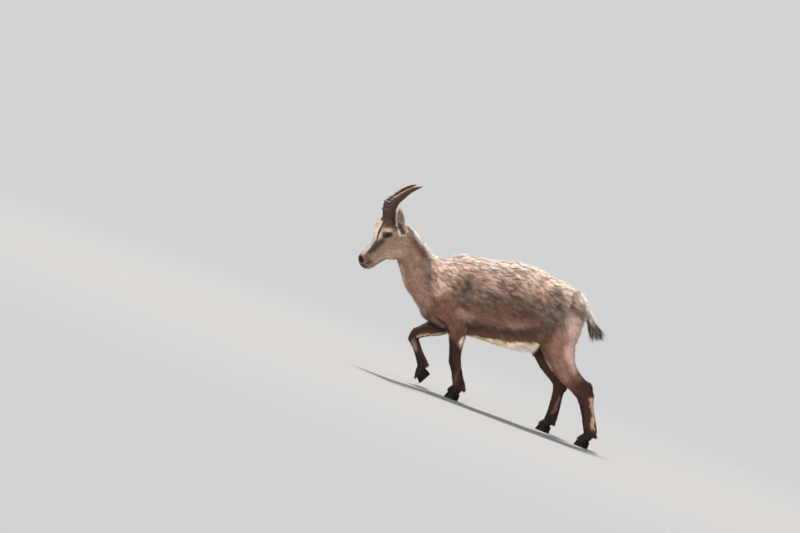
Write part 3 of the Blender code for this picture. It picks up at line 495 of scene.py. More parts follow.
def skin_mesh():
    all_points, all_faces, offset = [], [], 0
    for name in FLESH:
        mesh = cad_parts[name].data
        points = points_of(mesh)
        if name == "torso":
            points = without_fringe(points)
        all_points.append(points)
        all_faces += [tuple(index + offset for index in face.vertices) for face in mesh.polygons]
        offset += len(points)
    points, faces = tail_core()
    all_points.append(points)
    all_faces += [tuple(index + offset for index in face) for face in faces]
    body = new_object("flesh", np.vstack(all_points), all_faces, smooth=False)
    fuse = body.modifiers.new("Fuse", "REMESH")
    fuse.mode = "VOXEL"
    fuse.voxel_size = FINE_CELL
    return largest_part(settled(body))


def in_head(drawn):
    """1 on the head, 0 on the body, soft across the joint."""
    return 1 - ramp(drawn[:, 0] + 0.22 * (720 - drawn[:, 2]), -500, -460)


def described(points):
    """The side view, the head's share and the ears' share at points of the frame."""
    body = placed(BODY_TURN.inverted(), points)
    head = placed(HEAD_TURN.inverted(), points)
    share = in_head(body)
    view = side_view(body) * (1 - share[:, None]) + side_view(head) * share[:, None]
    up_ear, from_ear = ear_share(head)
    ear = ramp(up_ear, 0.0, 0.12) * (1 - ramp(from_ear, 26, 32)) * (share > 0.5)
    return dict(body=body, head=head, in_head=share, view=view, ear=ear, up_ear=up_ear)


def hock_share(body):
    """1 round the hocks, whose heel bones are rounded off."""
    share = np.zeros(len(body))
    for name in ("hindleg_left", "hindleg_right"):
        (x, z), _, middle = FETLOCKS[name]
        near = np.hypot(body[:, 0] - x, body[:, 2] - z)
        share = np.maximum(share, (1 - ramp(near, 45, 85)) * (body[:, 1] * middle > 0))
    return share


def rounded_hocks(points, edges, body):
    """Points with the hocks' bumps smoothed away."""
    share = hock_share(body)
    chosen = share > 0
    number = np.cumsum(chosen) - 1
    inner = number[edges[chosen[edges].all(axis=1)]]
    points = points.copy()
    points[chosen] = relaxed(points[chosen], inner, HOCK_PASSES, 0.6 * share[chosen])
    return points


HOCK_PASSES = 24


def shaped_skin():
    """The skin's mesh, softened and sunk below the coat."""
    mesh = skin_mesh()
    points, edges = points_of(mesh), edges_of(mesh)
    about = described(points)
    points = rounded_hocks(points, edges, about["body"])
    weight = 0.5 * (1 - 0.6 * about["in_head"]) * (1 - 0.7 * about["ear"])
    points = relaxed(points, edges, 10, weight)
    set_points(mesh, points)
    depth = blend_of(about["view"], DEPTH) * 0.001
    depth = depth * (1 - about["ear"]) + 0.0003 * about["ear"]
    depth = relaxed(depth, edges, 12)
    inward = normals_of(mesh) * depth[:, None]
    inward[:, 1] *= np.where(depth < 0, 0.4, 1.0)
    points = points - inward
    points = relaxed(points, edges, 2, weight)
    set_points(mesh, points)
    return mesh, about


SKIN_KEEP = 0.17           # share of the fine skin's faces that the shown skin keeps


def displayed_skin(fine, about, material):
    """The skin that is shown: the fine one with fewer faces where it is plain."""
    shown = bpy.data.objects.new("skin", fine.copy())
    bpy.context.scene.collection.objects.link(shown)
    plain = shown.vertex_groups.new(name="plain")
    where = np.where(about["in_head"] < 0.3)[0]
    plain.add(where.tolist(), 1.0, "REPLACE")
    thin = shown.modifiers.new("Thin", "DECIMATE")
    thin.ratio = SKIN_KEEP
    thin.vertex_group = "plain"
    thin.vertex_group_factor = 1.0
    mesh = settled(shown)
    mesh.name = "skin"
    where = described(points_of(mesh))
    shown_points = points_of(mesh)
    colour = mottled(coat_colour(where["view"], marked_side(where["body"], shown_points, normals_of(mesh))), shown_points)
    colour = np.where(where["ear"][:, None] > 0.4, ear_colour(where["head"]), colour)
    # skin darker than the coat, most on the body: partly the darker underfur, partly painted shade beneath the coat
    paint(mesh, colour * np.where(where["in_head"] > 0.5, 0.82, 0.62)[:, None])
    mesh.shade_smooth()
    mesh.materials.append(material)
    made = bpy.data.objects.new("skin", mesh)
    bpy.context.scene.collection.objects.link(made)
    return made


# ---- tufts
TUFT_LEVELS = np.array([0.0, 0.36, 0.72, 1.0])
TUFT_WIDTHS = np.array([0.8, 1.0, 0.62])


def tufts(name, root, normal, along, length, width, lift, tint_root, tint_tip, place, bend=0.55):
    """A mesh of tapered blades that leave the skin and bend along their lie."""
    side = np.cross(normal, along)
    count = len(root)
    points = np.empty((count, 7, 3))
    colours = np.empty((count, 7, 3))
    spot = root.copy()
    share_before = 0.0
    for level, share in enumerate(TUFT_LEVELS):
        angle = lift * (1 - bend * 1.3 * (share + share_before) / 2)
        step = length * (share - share_before)
        if level:
            spot = spot + (along * np.cos(angle)[:, None] + normal * np.sin(angle)[:, None]) * step[:, None]
        share_before = share
        tint = tint_root + (tint_tip - tint_root) * share
        if level < 3:
            half = side * (width * TUFT_WIDTHS[level] / 2)[:, None]
            points[:, 2 * level] = spot - half
            points[:, 2 * level + 1] = spot + half
            colours[:, 2 * level] = colours[:, 2 * level + 1] = tint
        else:
            points[:, 6] = spot
            colours[:, 6] = tint
    base = (np.arange(count) * 7)[:, None]
    corners = base + np.array([0, 1, 3, 2, 2, 3, 5, 4, 4, 5, 6])
    sides = np.tile([4, 4, 3], count)
    mesh = quick_mesh(name, points.reshape(-1, 3), corners.ravel(), sides)
    mesh.shade_smooth()
    paint(mesh, colours.reshape(-1, 3))
    patch = np.array([[0, 0], [1, 0], [0, .33], [1, .33], [0, .66], [1, .66], [.5, 1]]) - 0.5
    spread = np.clip(place, 0.002, 0.998)[:, None, :] + patch * 0.003
    layer = mesh.uv_layers.new(name="OFBake")
    loops = np.empty(len(mesh.loops), np.int32)
    mesh.loops.foreach_get("vertex_index", loops)
    layer.data.foreach_set("uv", spread.reshape(-1, 2)[loops].astype(np.float32).ravel())
    made = bpy.data.objects.new(name, mesh)
    bpy.context.scene.collection.objects.link(made)
    return made


def unwrapped(points, axis, low, high):
    """An unwrap of a stretch of the skin: along an axis, and round it."""
    along = (points[:, axis] - low) / (high - low)
    slices = np.clip((along * 24).astype(int), 0, 23)
    others = [a for a in (0, 1, 2) if a != axis]
    count = np.bincount(slices, minlength=24).clip(1)
    middle = np.stack([np.bincount(slices, points[:, a], 24) / count for a in others], 1)[slices]
    angle = np.arctan2(points[:, others[0]] - middle[:, 0], points[:, others[1]] - middle[:, 1])
    return np.stack([along, angle / (2 * math.pi) + 0.5], 1)


def skin_roots(mesh, density, draw):
    """Points scattered over the mesh, so many to the square metre at each of its points."""
    corners = np.empty(len(mesh.loops), np.int32)
    mesh.loops.foreach_get("vertex_index", corners)
    quads = corners.reshape(-1, 4)
    areas = np.empty(len(mesh.polygons), np.float32)
    mesh.polygons.foreach_get("area", areas)
    wanted = density[quads].mean(1) * areas
    times = np.floor(wanted + draw.random(len(quads))).astype(int)
    chosen = np.repeat(np.arange(len(quads)), times)
    s, t = draw.random(len(chosen)), draw.random(len(chosen))
    weights = np.stack([(1 - s) * (1 - t), s * (1 - t), s * t, (1 - s) * t], 1)
    return quads[chosen], weights


def blended(values, corners, weights):
    picked = values[corners]
    if values.ndim == 1:
        return (picked * weights).sum(1)
    return (picked * weights[..., None]).sum(1)


def unit(vectors):
    return vectors / np.linalg.norm(vectors, axis=1)[:, None].clip(1e-9)


# Tufts to the square metre
TRUNK_DENSITY, LEG_DENSITY, HEAD_DENSITY, EAR_DENSITY, TAIL_DENSITY = 150e3, 190e3, 400e3, 460e3, 320e3
PIECE_TUFTS = 39000        # at most so many to a piece
CLUMP_STRETCH = np.array([0.6, 1.0, 1.0])
FINE_CLUMP, SHAG_CLUMP = 0.0070, 0.0165


def tuft_density(about, points):
    """How close the tufts stand at points of the skin."""
    density = np.full(len(points), TRUNK_DENSITY)
    body, head = about["body"], about["head"]
    neck = ramp(-body[:, 0], 300, 420)
    density += neck * 0.45 * TRUNK_DENSITY
    leg = 1 - ramp(body[:, 2], 330, 400)
    leg = leg * (1 - belly_share(body))
    density += leg * (LEG_DENSITY - density)
    density = np.where(tail_part(body), TAIL_DENSITY, density)
    density += about["in_head"] * (HEAD_DENSITY - density)
    density = np.where(about["ear"] > 0.5, EAR_DENSITY, density)
    folded = head.copy()
    folded[:, 1] = np.abs(folded[:, 1])
    eye = np.array(EYE_CENTRE, float)
    tilt = math.radians(12)
    ahead, above = folded[:, 0] - eye[0], folded[:, 2] - eye[2]
    along, across = (ahead * math.cos(tilt) - above * math.sin(tilt),
                     ahead * math.sin(tilt) + above * math.cos(tilt))
    near = (np.abs(folded[:, 1] - eye[1]) < 22) & (along ** 2 / 17.5 ** 2 + across ** 2 / 10.5 ** 2 < 1)
    density[near] = 0
    nose = np.linalg.norm(folded - np.array([-686, 14, 604]), axis=1)
    density[nose < 11] = 0
    return density


def belly_share(body):
    """1 under the belly between the legs, 0 on the legs."""
    along = ramp(body[:, 0], -70, -30) * (1 - ramp(body[:, 0], 330, 360))
    return along * (body[:, 2] > 290)


def tail_part(body):
    """Whether points are on the tail, past the rump."""
    rows = np.array(TAIL, float)
    away = np.full(len(body), 1e9)
    for (x0, z0, _, _), (x1, z1, _, _) in zip(rows[1:], rows[2:]):
        start, run = np.array([x0, 0, z0]), np.array([x1 - x0, 0, z1 - z0])
        share = np.clip(((body - start) @ run) / (run @ run), 0, 1)
        away = np.minimum(away, np.linalg.norm(body - start - share[:, None] * run, axis=1))
    return (away < 27) & (body[:, 0] > 512)


def marked_side(body, points, normals):
    """-1 left, 1 right, 0 on the tail and twice the side inside the legs, for the markings."""
    side = np.sign(points[:, 1])
    inside = (normals[:, 1] * side < -0.1) & (body[:, 2] < 430)
    return np.where(tail_part(body), 0, np.where(inside, 2 * side, side))


def gathered(root, normal, along, length, size, salt, pull):
    """Lie of tufts whose tips lean towards the middle of their clump."""
    middle, drawn = clumps(root * CLUMP_STRETCH, size, salt)
    offset = middle / CLUMP_STRETCH - root
    offset -= normal * (offset * normal).sum(1)[:, None]
    edge = np.linalg.norm(offset * CLUMP_STRETCH, axis=1) / size
    return unit(along * length[:, None] + offset * pull[:, None]), drawn, edge


def coat_roots(skin, about, draw):
    """Roots of the tufts and what the skin is there."""
    corners, weights = skin_roots(skin, tuft_density(about, points_of(skin)) * ROOT_SHARE, draw)
    here = {name: blended(about[name], corners, weights)
            for name in ("view", "in_head", "ear", "up_ear", "body", "head")}
    here["root"] = blended(points_of(skin), corners, weights)
    here["normal"] = unit(blended(normals_of(skin), corners, weights))
    return here


def coat_lie(here, lie):
    """Directions in which the coat lies, along the skin."""
    root, normal, body, head = here["root"], here["normal"], here["body"], here["head"]
    drawn_lie = lie_direction(lie)
    along = drawn_lie @ np.array(BODY_TURN.to_3x3()).T
    along = np.where(here["in_head"][:, None] > 0.5, drawn_lie @ np.array(HEAD_TURN.to_3x3()).T, along)
    axis = np.array(EAR_TIP, float) - np.array(EAR_ROOT, float)
    ear_axes = np.where(head[:, 1:2] > 0, axis, axis * np.array([1, -1, 1]))
    along = np.where(here["ear"][:, None] > 0.4, ear_axes @ np.array(HEAD_TURN.to_3x3()).T, along)
    along = unit(along)
    outward = np.zeros_like(along)
    outward[:, 1] = np.sign(root[:, 1]) * (~tail_part(body)) * 0.12
    along = along + outward
    return unit(along - normal * (along * normal).sum(1)[:, None])


def coat_shape(here, draw):
    """Lie, length, width and lift of every tuft, and its clumps."""
    root, normal, body = here["root"], here["normal"], here["body"]
    count = len(root)
    length, lift, lie, shag = coat_at(here["view"])
    # upward-facing coat on the back: it lifts more, and coat_tints paints it paler, partly the back's own paler
    # hair and partly painted rim light
    top = ramp(normal[:, 2], 0.35, 0.85) * ramp(body[:, 2], 620, 700) * (here["in_head"] < 0.5)
    along = coat_lie(here, lie)
    wander = (noise(root, 0.03, 11) - 0.5) * 0.8 + draw.normal(0, 0.12, count)
    along = unit(along + np.cross(normal, along) * wander[:, None])
    along, shag_drawn, shag_edge = gathered(root, normal, along, length, SHAG_CLUMP, 57, shag * 0.75)
    fine_pull = np.where(here["in_head"] > 0.5, 0.25, 0.55)
    along, fine_drawn, fine_edge = gathered(root, normal, along, length, FINE_CLUMP, 31, fine_pull)
    length = length * (0.78 + 0.40 * draw.random(count)) * (1 + 0.4 * shag * (shag_drawn - 0.5))
    lift = lift * (0.75 + 0.5 * draw.random(count)) + np.radians(21) * shag * (shag_drawn - 0.35)
    lift += np.radians(12) * top * (fine_drawn - 0.2)
    stray = (draw.random(count) < 0.05) & (here["in_head"] < 0.5) & (body[:, 2] > 330)
    length = np.where(stray, length * 1.3, length)
    lift = np.where(stray, lift + np.radians(14), lift)

    hang = ramp(body[:, 0], 20, 80) * (1 - ramp(body[:, 0], 275, 310)) * ramp(-body[:, 2], -440, -395)
    hang *= ramp(-normal[:, 2], 0.2, 0.8)
    reach = np.clip(1 - np.abs(body[:, 0] - 225) / 190, 0.1, 1)
    length += hang * (0.022 + 0.058 * reach * (0.4 + 0.75 * draw.random(count)) - length)
    lift += hang * (np.radians(30) + np.radians(24) * draw.random(count) - lift)
    fringe = hang > 0.3
    tail = tail_part(body)
    length = np.where(tail, length * (0.9 + 0.35 * draw.random(count)), length)
    brush = ramp(here["view"][:, 1], 318, 331)
    lift = np.where(tail, np.radians(14 + 26 * draw.random(count) + 22 * brush), lift)
    ear = here["ear"] > 0.4
    wisp = ear & (draw.random(count) < 0.10)
    length = np.where(ear, 0.007 + 0.004 * draw.random(count) + 0.008 * wisp, length)
    lift = np.where(ear, np.radians(16), lift)
    width = np.clip(length * 0.068, 0.0008, 0.0021) * (0.8 + 0.4 * draw.random(count))
    width = np.where(here["in_head"] > 0.5, np.minimum(width, 0.0011), width)
    here.update(length=length, lift=np.maximum(lift, np.radians(4)), along=along, width=width, shag=shag,
                shag_drawn=shag_drawn, shag_edge=shag_edge, fine_drawn=fine_drawn, fine_edge=fine_edge,
                fringe=fringe, tail=tail, top=top, wisp=wisp)


def mottled(colour, points):
    mottle = noise(points, 0.045, 1) * 0.5 + noise(points, 0.014, 2) * 0.5
    return colour * (0.80 + 0.40 * mottle)[:, None]


def coat_tints(here, draw):
    """Colours of every tuft at its root and its tip."""
    root, shag, top = here["root"], here["shag"], here["top"]
    colour = mottled(coat_colour(here["view"], marked_side(here["body"], root, here["normal"])), root)
    colour = colour * (0.80 + 0.40 * here["fine_drawn"])[:, None]
    colour = colour * (1 + shag * 0.75 * (here["shag_drawn"] - 0.5))[:, None]
    # painted shade: tufts darker towards the edges of their clumps, where the gaps between clumps lie
    gap_shade = 1 - 0.50 * shag * ramp(here["shag_edge"], 0.32, 0.72)
    gap_shade *= 1 - 0.20 * ramp(here["fine_edge"], 0.35, 0.7)
    colour = colour * gap_shade[:, None]
    # paler along the topline: partly the back's paler hair, partly painted rim light
    colour += (0.16 * top * here["fine_drawn"])[:, None] * (CHALK - colour)
    tips = 0.01 + 0.38 * shag * here["shag_drawn"] + 0.34 * top
    colour = np.where((here["ear"] > 0.4)[:, None], ear_colour(here["head"]), colour)
    colour = np.where(here["wisp"][:, None], colour + (CREAM - colour) * 0.55, colour)
    tips = np.where(here["ear"] > 0.4, 0.0, tips)
    tips = np.where(here["tail"] & (here["view"][:, 1] > 326), 0.5 * draw.random(len(root)) ** 3, tips)
    tip = colour * 1.22 + (CHALK - colour) * tips[:, None]
    # roots darker than the tips, most in the shaggy coat: partly the hair's own darker roots, partly painted shade
    # deep in the coat
    base = colour * (0.80 - 0.36 * shag)[:, None]
    base = np.where(here["fringe"][:, None], colour, base)
    return base, tip


def grow_coat(skin, about, material):
    draw = np.random.default_rng(SEED)
    here = coat_roots(skin, about, draw)
    coat_shape(here, draw)
    base, tip = coat_tints(here, draw)
    root, body = here["root"], here["body"]
    left, front = root[:, 1] < 0, body[:, 0] < 150
    head, ear = here["in_head"] > 0.5, here["ear"] > 0.4
    leg = (body[:, 2] < 330) & ~head & ~here["fringe"]
    trunk = ~leg & ~head & ~here["tail"]
    regions = [("foreleg_left", leg & left & front, 2), ("foreleg_right", leg & ~left & front, 2),
               ("hindleg_left", leg & left & ~front, 2), ("hindleg_right", leg & ~left & ~front, 2),
               ("ears", ear, 2), ("head_left", head & ~ear & left, 0),
               ("head_right", head & ~ear & ~left, 0), ("tail", here["tail"] & ~leg & ~head, 0),
               ("trunk_left", trunk & left, 0), ("trunk_right", trunk & ~left, 0)]
    pieces = []
    for word, where, axis in regions:
        chosen = np.where(where)[0]
        chosen = chosen[np.argsort(root[chosen, axis])]
        parts = max(1, math.ceil(len(chosen) / PIECE_TUFTS))
        for number, part in enumerate(np.array_split(chosen, parts)):
            if not len(part):
                continue
            low, high = root[part, axis].min(), root[part, axis].max()
            place = unwrapped(root[part], axis, low, high)
            name = "coat_%s_%d" % (word, number + 1)
            made = tufts(name, root[part], here["normal"][part], here["along"][part],
                         here["length"][part], here["width"][part], here["lift"][part],
                         base[part], tip[part], place)
            made.data.materials.append(material)
            pieces.append((made, len(part) * 5))
    return pieces


def ear_colour(head):
    """Dark in the cup of an ear, pale along its rims, brown behind with a dark tip."""
    folded = head.copy()
    folded[:, 1] = np.abs(folded[:, 1])
    root, tip = np.array(EAR_ROOT, float), np.array(EAR_TIP, float)
    along = (tip - root) / np.linalg.norm(tip - root)
    opening = np.array([-0.45, 0.88, 0.0])
    opening -= along * (opening @ along)
    opening /= np.linalg.norm(opening)
    share = np.clip(((folded - root) @ (tip - root)) / ((tip - root) @ (tip - root)), 0, 1)
    centre = root + share[:, None] * (tip - root) - opening * (9 * np.sin(math.pi * share))[:, None]
    flank = np.cross(along, opening)
    across, deep = (folded - centre) @ flank, (folded - centre) @ opening
    wide, depth = (np.interp(share, [0, .12, .28, .46, .64, .8, .92, 1], sizes)
                   for sizes in ([15, 20, 24, 24.5, 21, 15, 8.5, 3.4], [15, 16, 15, 13, 10, 7, 4.6, 3]))
    away = np.hypot(across / (wide - 1.5), np.minimum(deep, 0) / (depth - 1.5))
    inside = ((away < 1.0) & (deep < 6)).astype(float)[:, None]
    rim = np.maximum(ramp(deep, -5.0, -1.0), ramp(share, 0.86, 0.98))[:, None]
    # the cup darkens towards the root of the ear: painted shade in its hollow
    cup = rgb(92, 84, 84) + (rgb(32, 27, 27) - rgb(92, 84, 84)) * (1 - ramp(share, 0.0, 0.4))[:, None]
    back = rgb(150, 124, 110) + (rgb(92, 76, 68) - rgb(150, 124, 110)) * ramp(share, 0.6, 0.95)[:, None]
    colour = back + (cup - back) * inside
    return colour + (CREAM - colour) * rim * 0.9


# ---- materials
def shader(name, roughness, sheen=0.0, coat=0.0, specular=0.5):
    made = bpy.data.materials.new(name)
    made.use_nodes = True
    nodes, links = made.node_tree.nodes, made.node_tree.links
    principled = nodes["Principled BSDF"]
    principled.inputs["Roughness"].default_value = roughness
    principled.inputs["Sheen Weight"].default_value = sheen
    principled.inputs["Coat Weight"].default_value = coat
    principled.inputs["Specular IOR Level"].default_value = specular
    return made, nodes, links, principled


def tinted(name, roughness, size, contrast, bump=0.0, bump_size=None, **more):
    """A material that takes its colour from the mesh and breaks it up with fine noise."""
    made, nodes, links, principled = shader(name, roughness, **more)
    tint = nodes.new("ShaderNodeAttribute")
    tint.attribute_name = "tint"
    place = nodes.new("ShaderNodeTexCoord")
    grain = nodes.new("ShaderNodeTexNoise")
    grain.inputs["Scale"].default_value = 1.0 / size
    grain.inputs["Detail"].default_value = 4.0
    links.new(place.outputs["Object"], grain.inputs["Vector"])
    level = nodes.new("ShaderNodeMapRange")
    level.inputs["From Min"].default_value = 0.25
    level.inputs["From Max"].default_value = 0.75
    level.inputs["To Min"].default_value = 1.0 - contrast
    level.inputs["To Max"].default_value = 1.0 + contrast
    links.new(grain.outputs["Fac"], level.inputs["Value"])
    mix = nodes.new("ShaderNodeVectorMath")
    mix.operation = "SCALE"
    links.new(tint.outputs["Color"], mix.inputs[0])
    links.new(level.outputs["Result"], mix.inputs["Scale"])
    links.new(mix.outputs["Vector"], principled.inputs["Base Color"])
    if bump:
        fine = nodes.new("ShaderNodeTexNoise")
        fine.inputs["Scale"].default_value = 1.0 / (bump_size or size)
        fine.inputs["Detail"].default_value = 3.0
        links.new(place.outputs["Object"], fine.inputs["Vector"])
        raised = nodes.new("ShaderNodeBump")
        raised.inputs["Strength"].default_value = 0.6
        raised.inputs["Distance"].default_value = bump
        links.new(fine.outputs["Fac"], raised.inputs["Height"])
        links.new(raised.outputs["Normal"], principled.inputs["Normal"])
    return made


# ---- horns
HORN = [
    (-615, 848, -558, 830, 21, 25), (-620, 876, -564, 860, 21, 27),
    (-622, 907, -566, 895, 20, 30), (-614, 932, -562, 923, 18, 34),
    (-595, 957, -554, 941, 16, 38), (-571, 982, -541, 960, 13.5, 43),
    (-542, 1010, -522, 989, 10.5, 48), (-509, 1033, -498, 1015, 7.5, 53),
    (-479, 1045, -475, 1034, 4, 56), (-464, 1049, -462, 1045, 0.7, 57),
]
HORN_KNOBS = [(0.13, 8.2), (0.215, 2.6), (0.30, 8.4), (0.375, 2.0), (0.44, 4.6), (0.56, 2.4), (0.67, 1.2)]
HORN_RINGS, HORN_SIDES = 190, 44


def horn(side, word, material):
    rows = smooth_rows(HORN, HORN_RINGS)
    points, colours = [], []
    draw = np.random.default_rng(3 + side)
    spacing = np.cumsum(draw.uniform(0.6, 1.4, HORN_RINGS))
    for index, (x0, z0, x1, z1, half_width, across) in enumerate(rows):
        share = index / (HORN_RINGS - 1)
        knob = sum(size * math.exp(-abs((share - at) / 0.021) ** 2.2) for at, size in HORN_KNOBS)
        ring = 0.30 * math.sin(spacing[index] * 0.7) * (1 - share) ** 0.5
        ring += 0.22 * math.sin(spacing[index] * 2.3)
        front, rear = np.array([x0, 0, z0]), np.array([x1, 0, z1])
        half = np.linalg.norm(front - rear) / 2
        half *= min(1.0, ((1 - share) * 22 + 0.02) ** 0.5)
        ahead = (front - rear) / np.linalg.norm(front - rear)
        for step in range(HORN_SIDES):
            angle = 2 * math.pi * step / HORN_SIDES
            forward, wide = math.cos(angle), math.sin(angle)
            blunt = abs(forward) ** 0.85 * math.copysign(1, forward)
            rough = ring * (0.5 + 0.5 * max(forward, 0)) * min(1, half / 12)
            groove = 0.25 * math.sin(angle * 11 + share * 4)
            reach = (half + rough) * blunt + knob * max(forward, 0) ** 1.3
            out = (half_width + rough * 0.8 + groove + knob * 0.14 * max(forward, 0)) * wide
            out *= 1 + 0.12 * forward
            point = (front + rear) / 2 + ahead * reach
            points.append([point[0], side * across + out, point[2]])
            base = rgb(67, 48, 36) * (0.94 + 0.07 * math.sin(spacing[index] * 0.9 + 1.2))
            base = base * (1 - 0.45 * (1 - min(share / 0.25, 1)))
            streak = math.sin(angle * 4.3 + 1.7 * math.sin(angle * 3) + 2 * share)
            base = base * (0.94 + 0.12 * streak)
            dark = (1 - min(max(share - 0.38, 0) / 0.2, 1)) * min(max(forward - 0.35, 0) * 2.2, 1)
            base = base + (rgb(44, 36, 33) - base) * 0.8 * dark
            # painted highlight along the front ridge of the horn
            edge = max(forward, 0) ** 10 * min(max(share - 0.34, 0) / 0.1, 1)
            base = base + (rgb(188, 164, 138) - base) * 0.6 * edge
            # painted highlights on the crests of the knobs
            knob_highlight = min(knob / 5.0, 1) * max(forward - 0.2, 0)
            base = base + (rgb(122, 110, 100) - base) * 0.55 * knob_highlight ** 3
            base = base + (rgb(160, 144, 128) - base) * max(0, share - 0.82) * 3.5
            colours.append(base)
    points = placed(HEAD_TURN, np.array(points))
    made = new_object("horn_sheath_" + word, points, loft_faces(HORN_RINGS, HORN_SIDES))
    paint(made.data, np.array(colours))
    made.data.materials.append(material)
    return made


# ---- hooves
HOOF_LENGTH, HOOF_WIDTH, HOOF_CLEFT, HOOF_FRONT, HOOF_HEEL = 74.0, 25.0, 3.0, 47.0, 35.0
FEET = {
    "fore_hoof_left": (-56, -66, 0.0, 0.0), "fore_hoof_right": (-207, 68, 46.0, -62.0),
    "hind_hoof_left": (674, -72, 0.0, 0.0), "hind_hoof_right": (473, 72, 0.0, 0.0),
}
HOOF_SIDES, HOOF_LEVELS = 48, 26


def claw(name, step, word, material):
    x, y, z, turn = FEET[name]
    matrix = TO_METRES @ Matrix.Translation((x, y, z)) @ Matrix.Rotation(math.radians(turn), 4, "Y")
    points, colours = [], []
    shares = [0.0, 0.0, 0.02] + list(np.linspace(0.05, 1.0, HOOF_LEVELS - 3))
    for level, share in enumerate(shares):
        size = np.interp(share, [0, 0.06, 0.45, 0.85, 1.0], [1.0, 1.0, 0.92, 0.82, 0.72])
        back = np.interp(share, [0, 0.06, 0.45, 0.85, 1.0], [0, 0.6, 4.6, 8.6, 10.2])
        size *= 0.97 if level == 0 else 1.0
        size += 0.006 * math.sin(share * 46) * (share > 0.06)
        for index in range(HOOF_SIDES):
            angle = 2 * math.pi * index / HOOF_SIDES
            ahead = math.cos(angle)
            px = -ahead * HOOF_LENGTH / 2 * size + back
            narrow = 1 - 0.42 * max(ahead, 0) ** 2
            py = math.sin(angle) * HOOF_WIDTH / 2 * narrow * (1 - 0.06 * share) * size
            py += step * ((HOOF_WIDTH + HOOF_CLEFT) / 2 - 2.0 * max(ahead, 0))
            run = (px + HOOF_LENGTH / 2) / HOOF_LENGTH
            top = HOOF_FRONT + (HOOF_HEEL - HOOF_FRONT) * run
            points.append([px, py, top * share])
            wear = (1 - min(share / 0.12, 1)) * 0.3
            base = rgb(15, 12, 11) * (0.85 + 0.3 * math.sin(share * 46 + 1))
            colours.append(base + (rgb(92, 84, 78) - base) * wear)
    points = placed(matrix, np.array(points))
    points[:, 2] = points[:, 2].clip(0.0)
    made = new_object("claw_" + word, points, loft_faces(len(shares), HOOF_SIDES))
    paint(made.data, np.array(colours))
    made.data.materials.append(material)
    return made


# Dewclaws: the cannon's upper joint and the fetlock, x and z, with the leg's sideways place
FETLOCKS = {
    "foreleg_left": ((-86, 213), (-28, 73), -66), "foreleg_right": ((-319, 276), (-234, 141), 68),
    "hindleg_left": ((624, 201), (707, -3), -72), "hindleg_right": ((507, 218), (502, 9), 72),
}
DEWCLAW_RADII = (9.0, 7.5, 13.0)


def dewclaw(name, step, word, material):
    """A small blunt horn that hangs behind the fetlock."""
    (x0, z0), (x1, z1), middle = FETLOCKS[name]
    along = np.array([x1 - x0, 0.0, z1 - z0])
    along /= np.linalg.norm(along)
    rear = np.array([-along[2], 0.0, along[0]])
    across = np.array([0.0, 1.0, 0.0])
    centre = np.array([x1, middle + step * 13.5, z1]) + along * 13 + rear * 20
    tilt = math.radians(20)
    down = along * math.cos(tilt) + rear * math.sin(tilt)
    out = rear * math.cos(tilt) - along * math.sin(tilt)
    rings, sides, points = 14, 20, []
    for ring in range(rings):
        turn = math.pi * (ring + 0.5) / rings
        high, reach = math.cos(turn), math.sin(turn)
        reach *= 1 - 0.25 * max(-high, 0)
        for index in range(sides):
            angle = 2 * math.pi * index / sides
            points.append(centre - down * DEWCLAW_RADII[2] * high
                          + out * DEWCLAW_RADII[0] * reach * math.cos(angle)
                          + across * DEWCLAW_RADII[1] * reach * math.sin(angle))
    made = new_object("dewclaw_" + word, placed(BODY_TURN, np.array(points)), loft_faces(rings, sides))
    paint(made.data, np.tile(rgb(28, 24, 24), (len(points), 1)))
    made.data.materials.append(material)
    return made


# ---- eyes
def eye_material():
    made, nodes, links, principled = shader("eye", 0.15, coat=0.5, specular=0.1)
    principled.inputs["Coat Roughness"].default_value = 0.02
    place = nodes.new("ShaderNodeTexCoord")
    split = nodes.new("ShaderNodeSeparateXYZ")
    links.new(place.outputs["Object"], split.inputs["Vector"])

    def math_node(kind, first, second=None, value=None):
        node = nodes.new("ShaderNodeMath")
        node.operation = kind
        links.new(first, node.inputs[0])
        if second is not None:
            links.new(second, node.inputs[1])
        elif value is not None:
            node.inputs[1].default_value = value
        return node.outputs[0]

    x2 = math_node("MULTIPLY", split.outputs["X"], split.outputs["X"])
    z2 = math_node("MULTIPLY", split.outputs["Z"], split.outputs["Z"])
    radius = math_node("SQRT", math_node("ADD", x2, z2))
    iris = nodes.new("ShaderNodeValToRGB")
    scaled = math_node("DIVIDE", radius, value=0.016)
    links.new(scaled, iris.inputs["Fac"])
    ramp_stops = iris.color_ramp.elements
    ramp_stops[0].position, ramp_stops[0].color = 0.0, (*rgb(44, 28, 17), 1)
    ramp_stops[1].position, ramp_stops[1].color = 0.66, (*rgb(14, 9, 7), 1)
    middle = iris.color_ramp.elements.new(0.50)
    middle.color = (*rgb(34, 22, 14), 1)
    rim = iris.color_ramp.elements.new(0.60)
    rim.color = (*rgb(24, 15, 11), 1)
    wide = math_node("POWER", math_node("ABSOLUTE", math_node("DIVIDE", split.outputs["X"], value=0.0062)), value=4)
    high = math_node("POWER", math_node("ABSOLUTE", math_node("DIVIDE", split.outputs["Z"], value=0.0026)), value=4)
    pupil = math_node("LESS_THAN", math_node("ADD", wide, high), value=1.0)
    mix = nodes.new("ShaderNodeMix")
    mix.data_type = "RGBA"
    links.new(pupil, mix.inputs["Factor"])
    links.new(iris.outputs["Color"], mix.inputs["A"])
    mix.inputs["B"].default_value = (0.004, 0.003, 0.003, 1)
    links.new(mix.outputs["Result"], principled.inputs["Base Color"])
    return made


def eye_frame(side):
    """Frame of an eye in the drawn head: y out of the socket, x along the slit."""
    x, y, z = EYE_CENTRE
    tilt = Matrix.Rotation(math.radians(-12), 4, "Y")
    return HEAD_TURN @ Matrix.Translation((x, side * y, z)) @ tilt


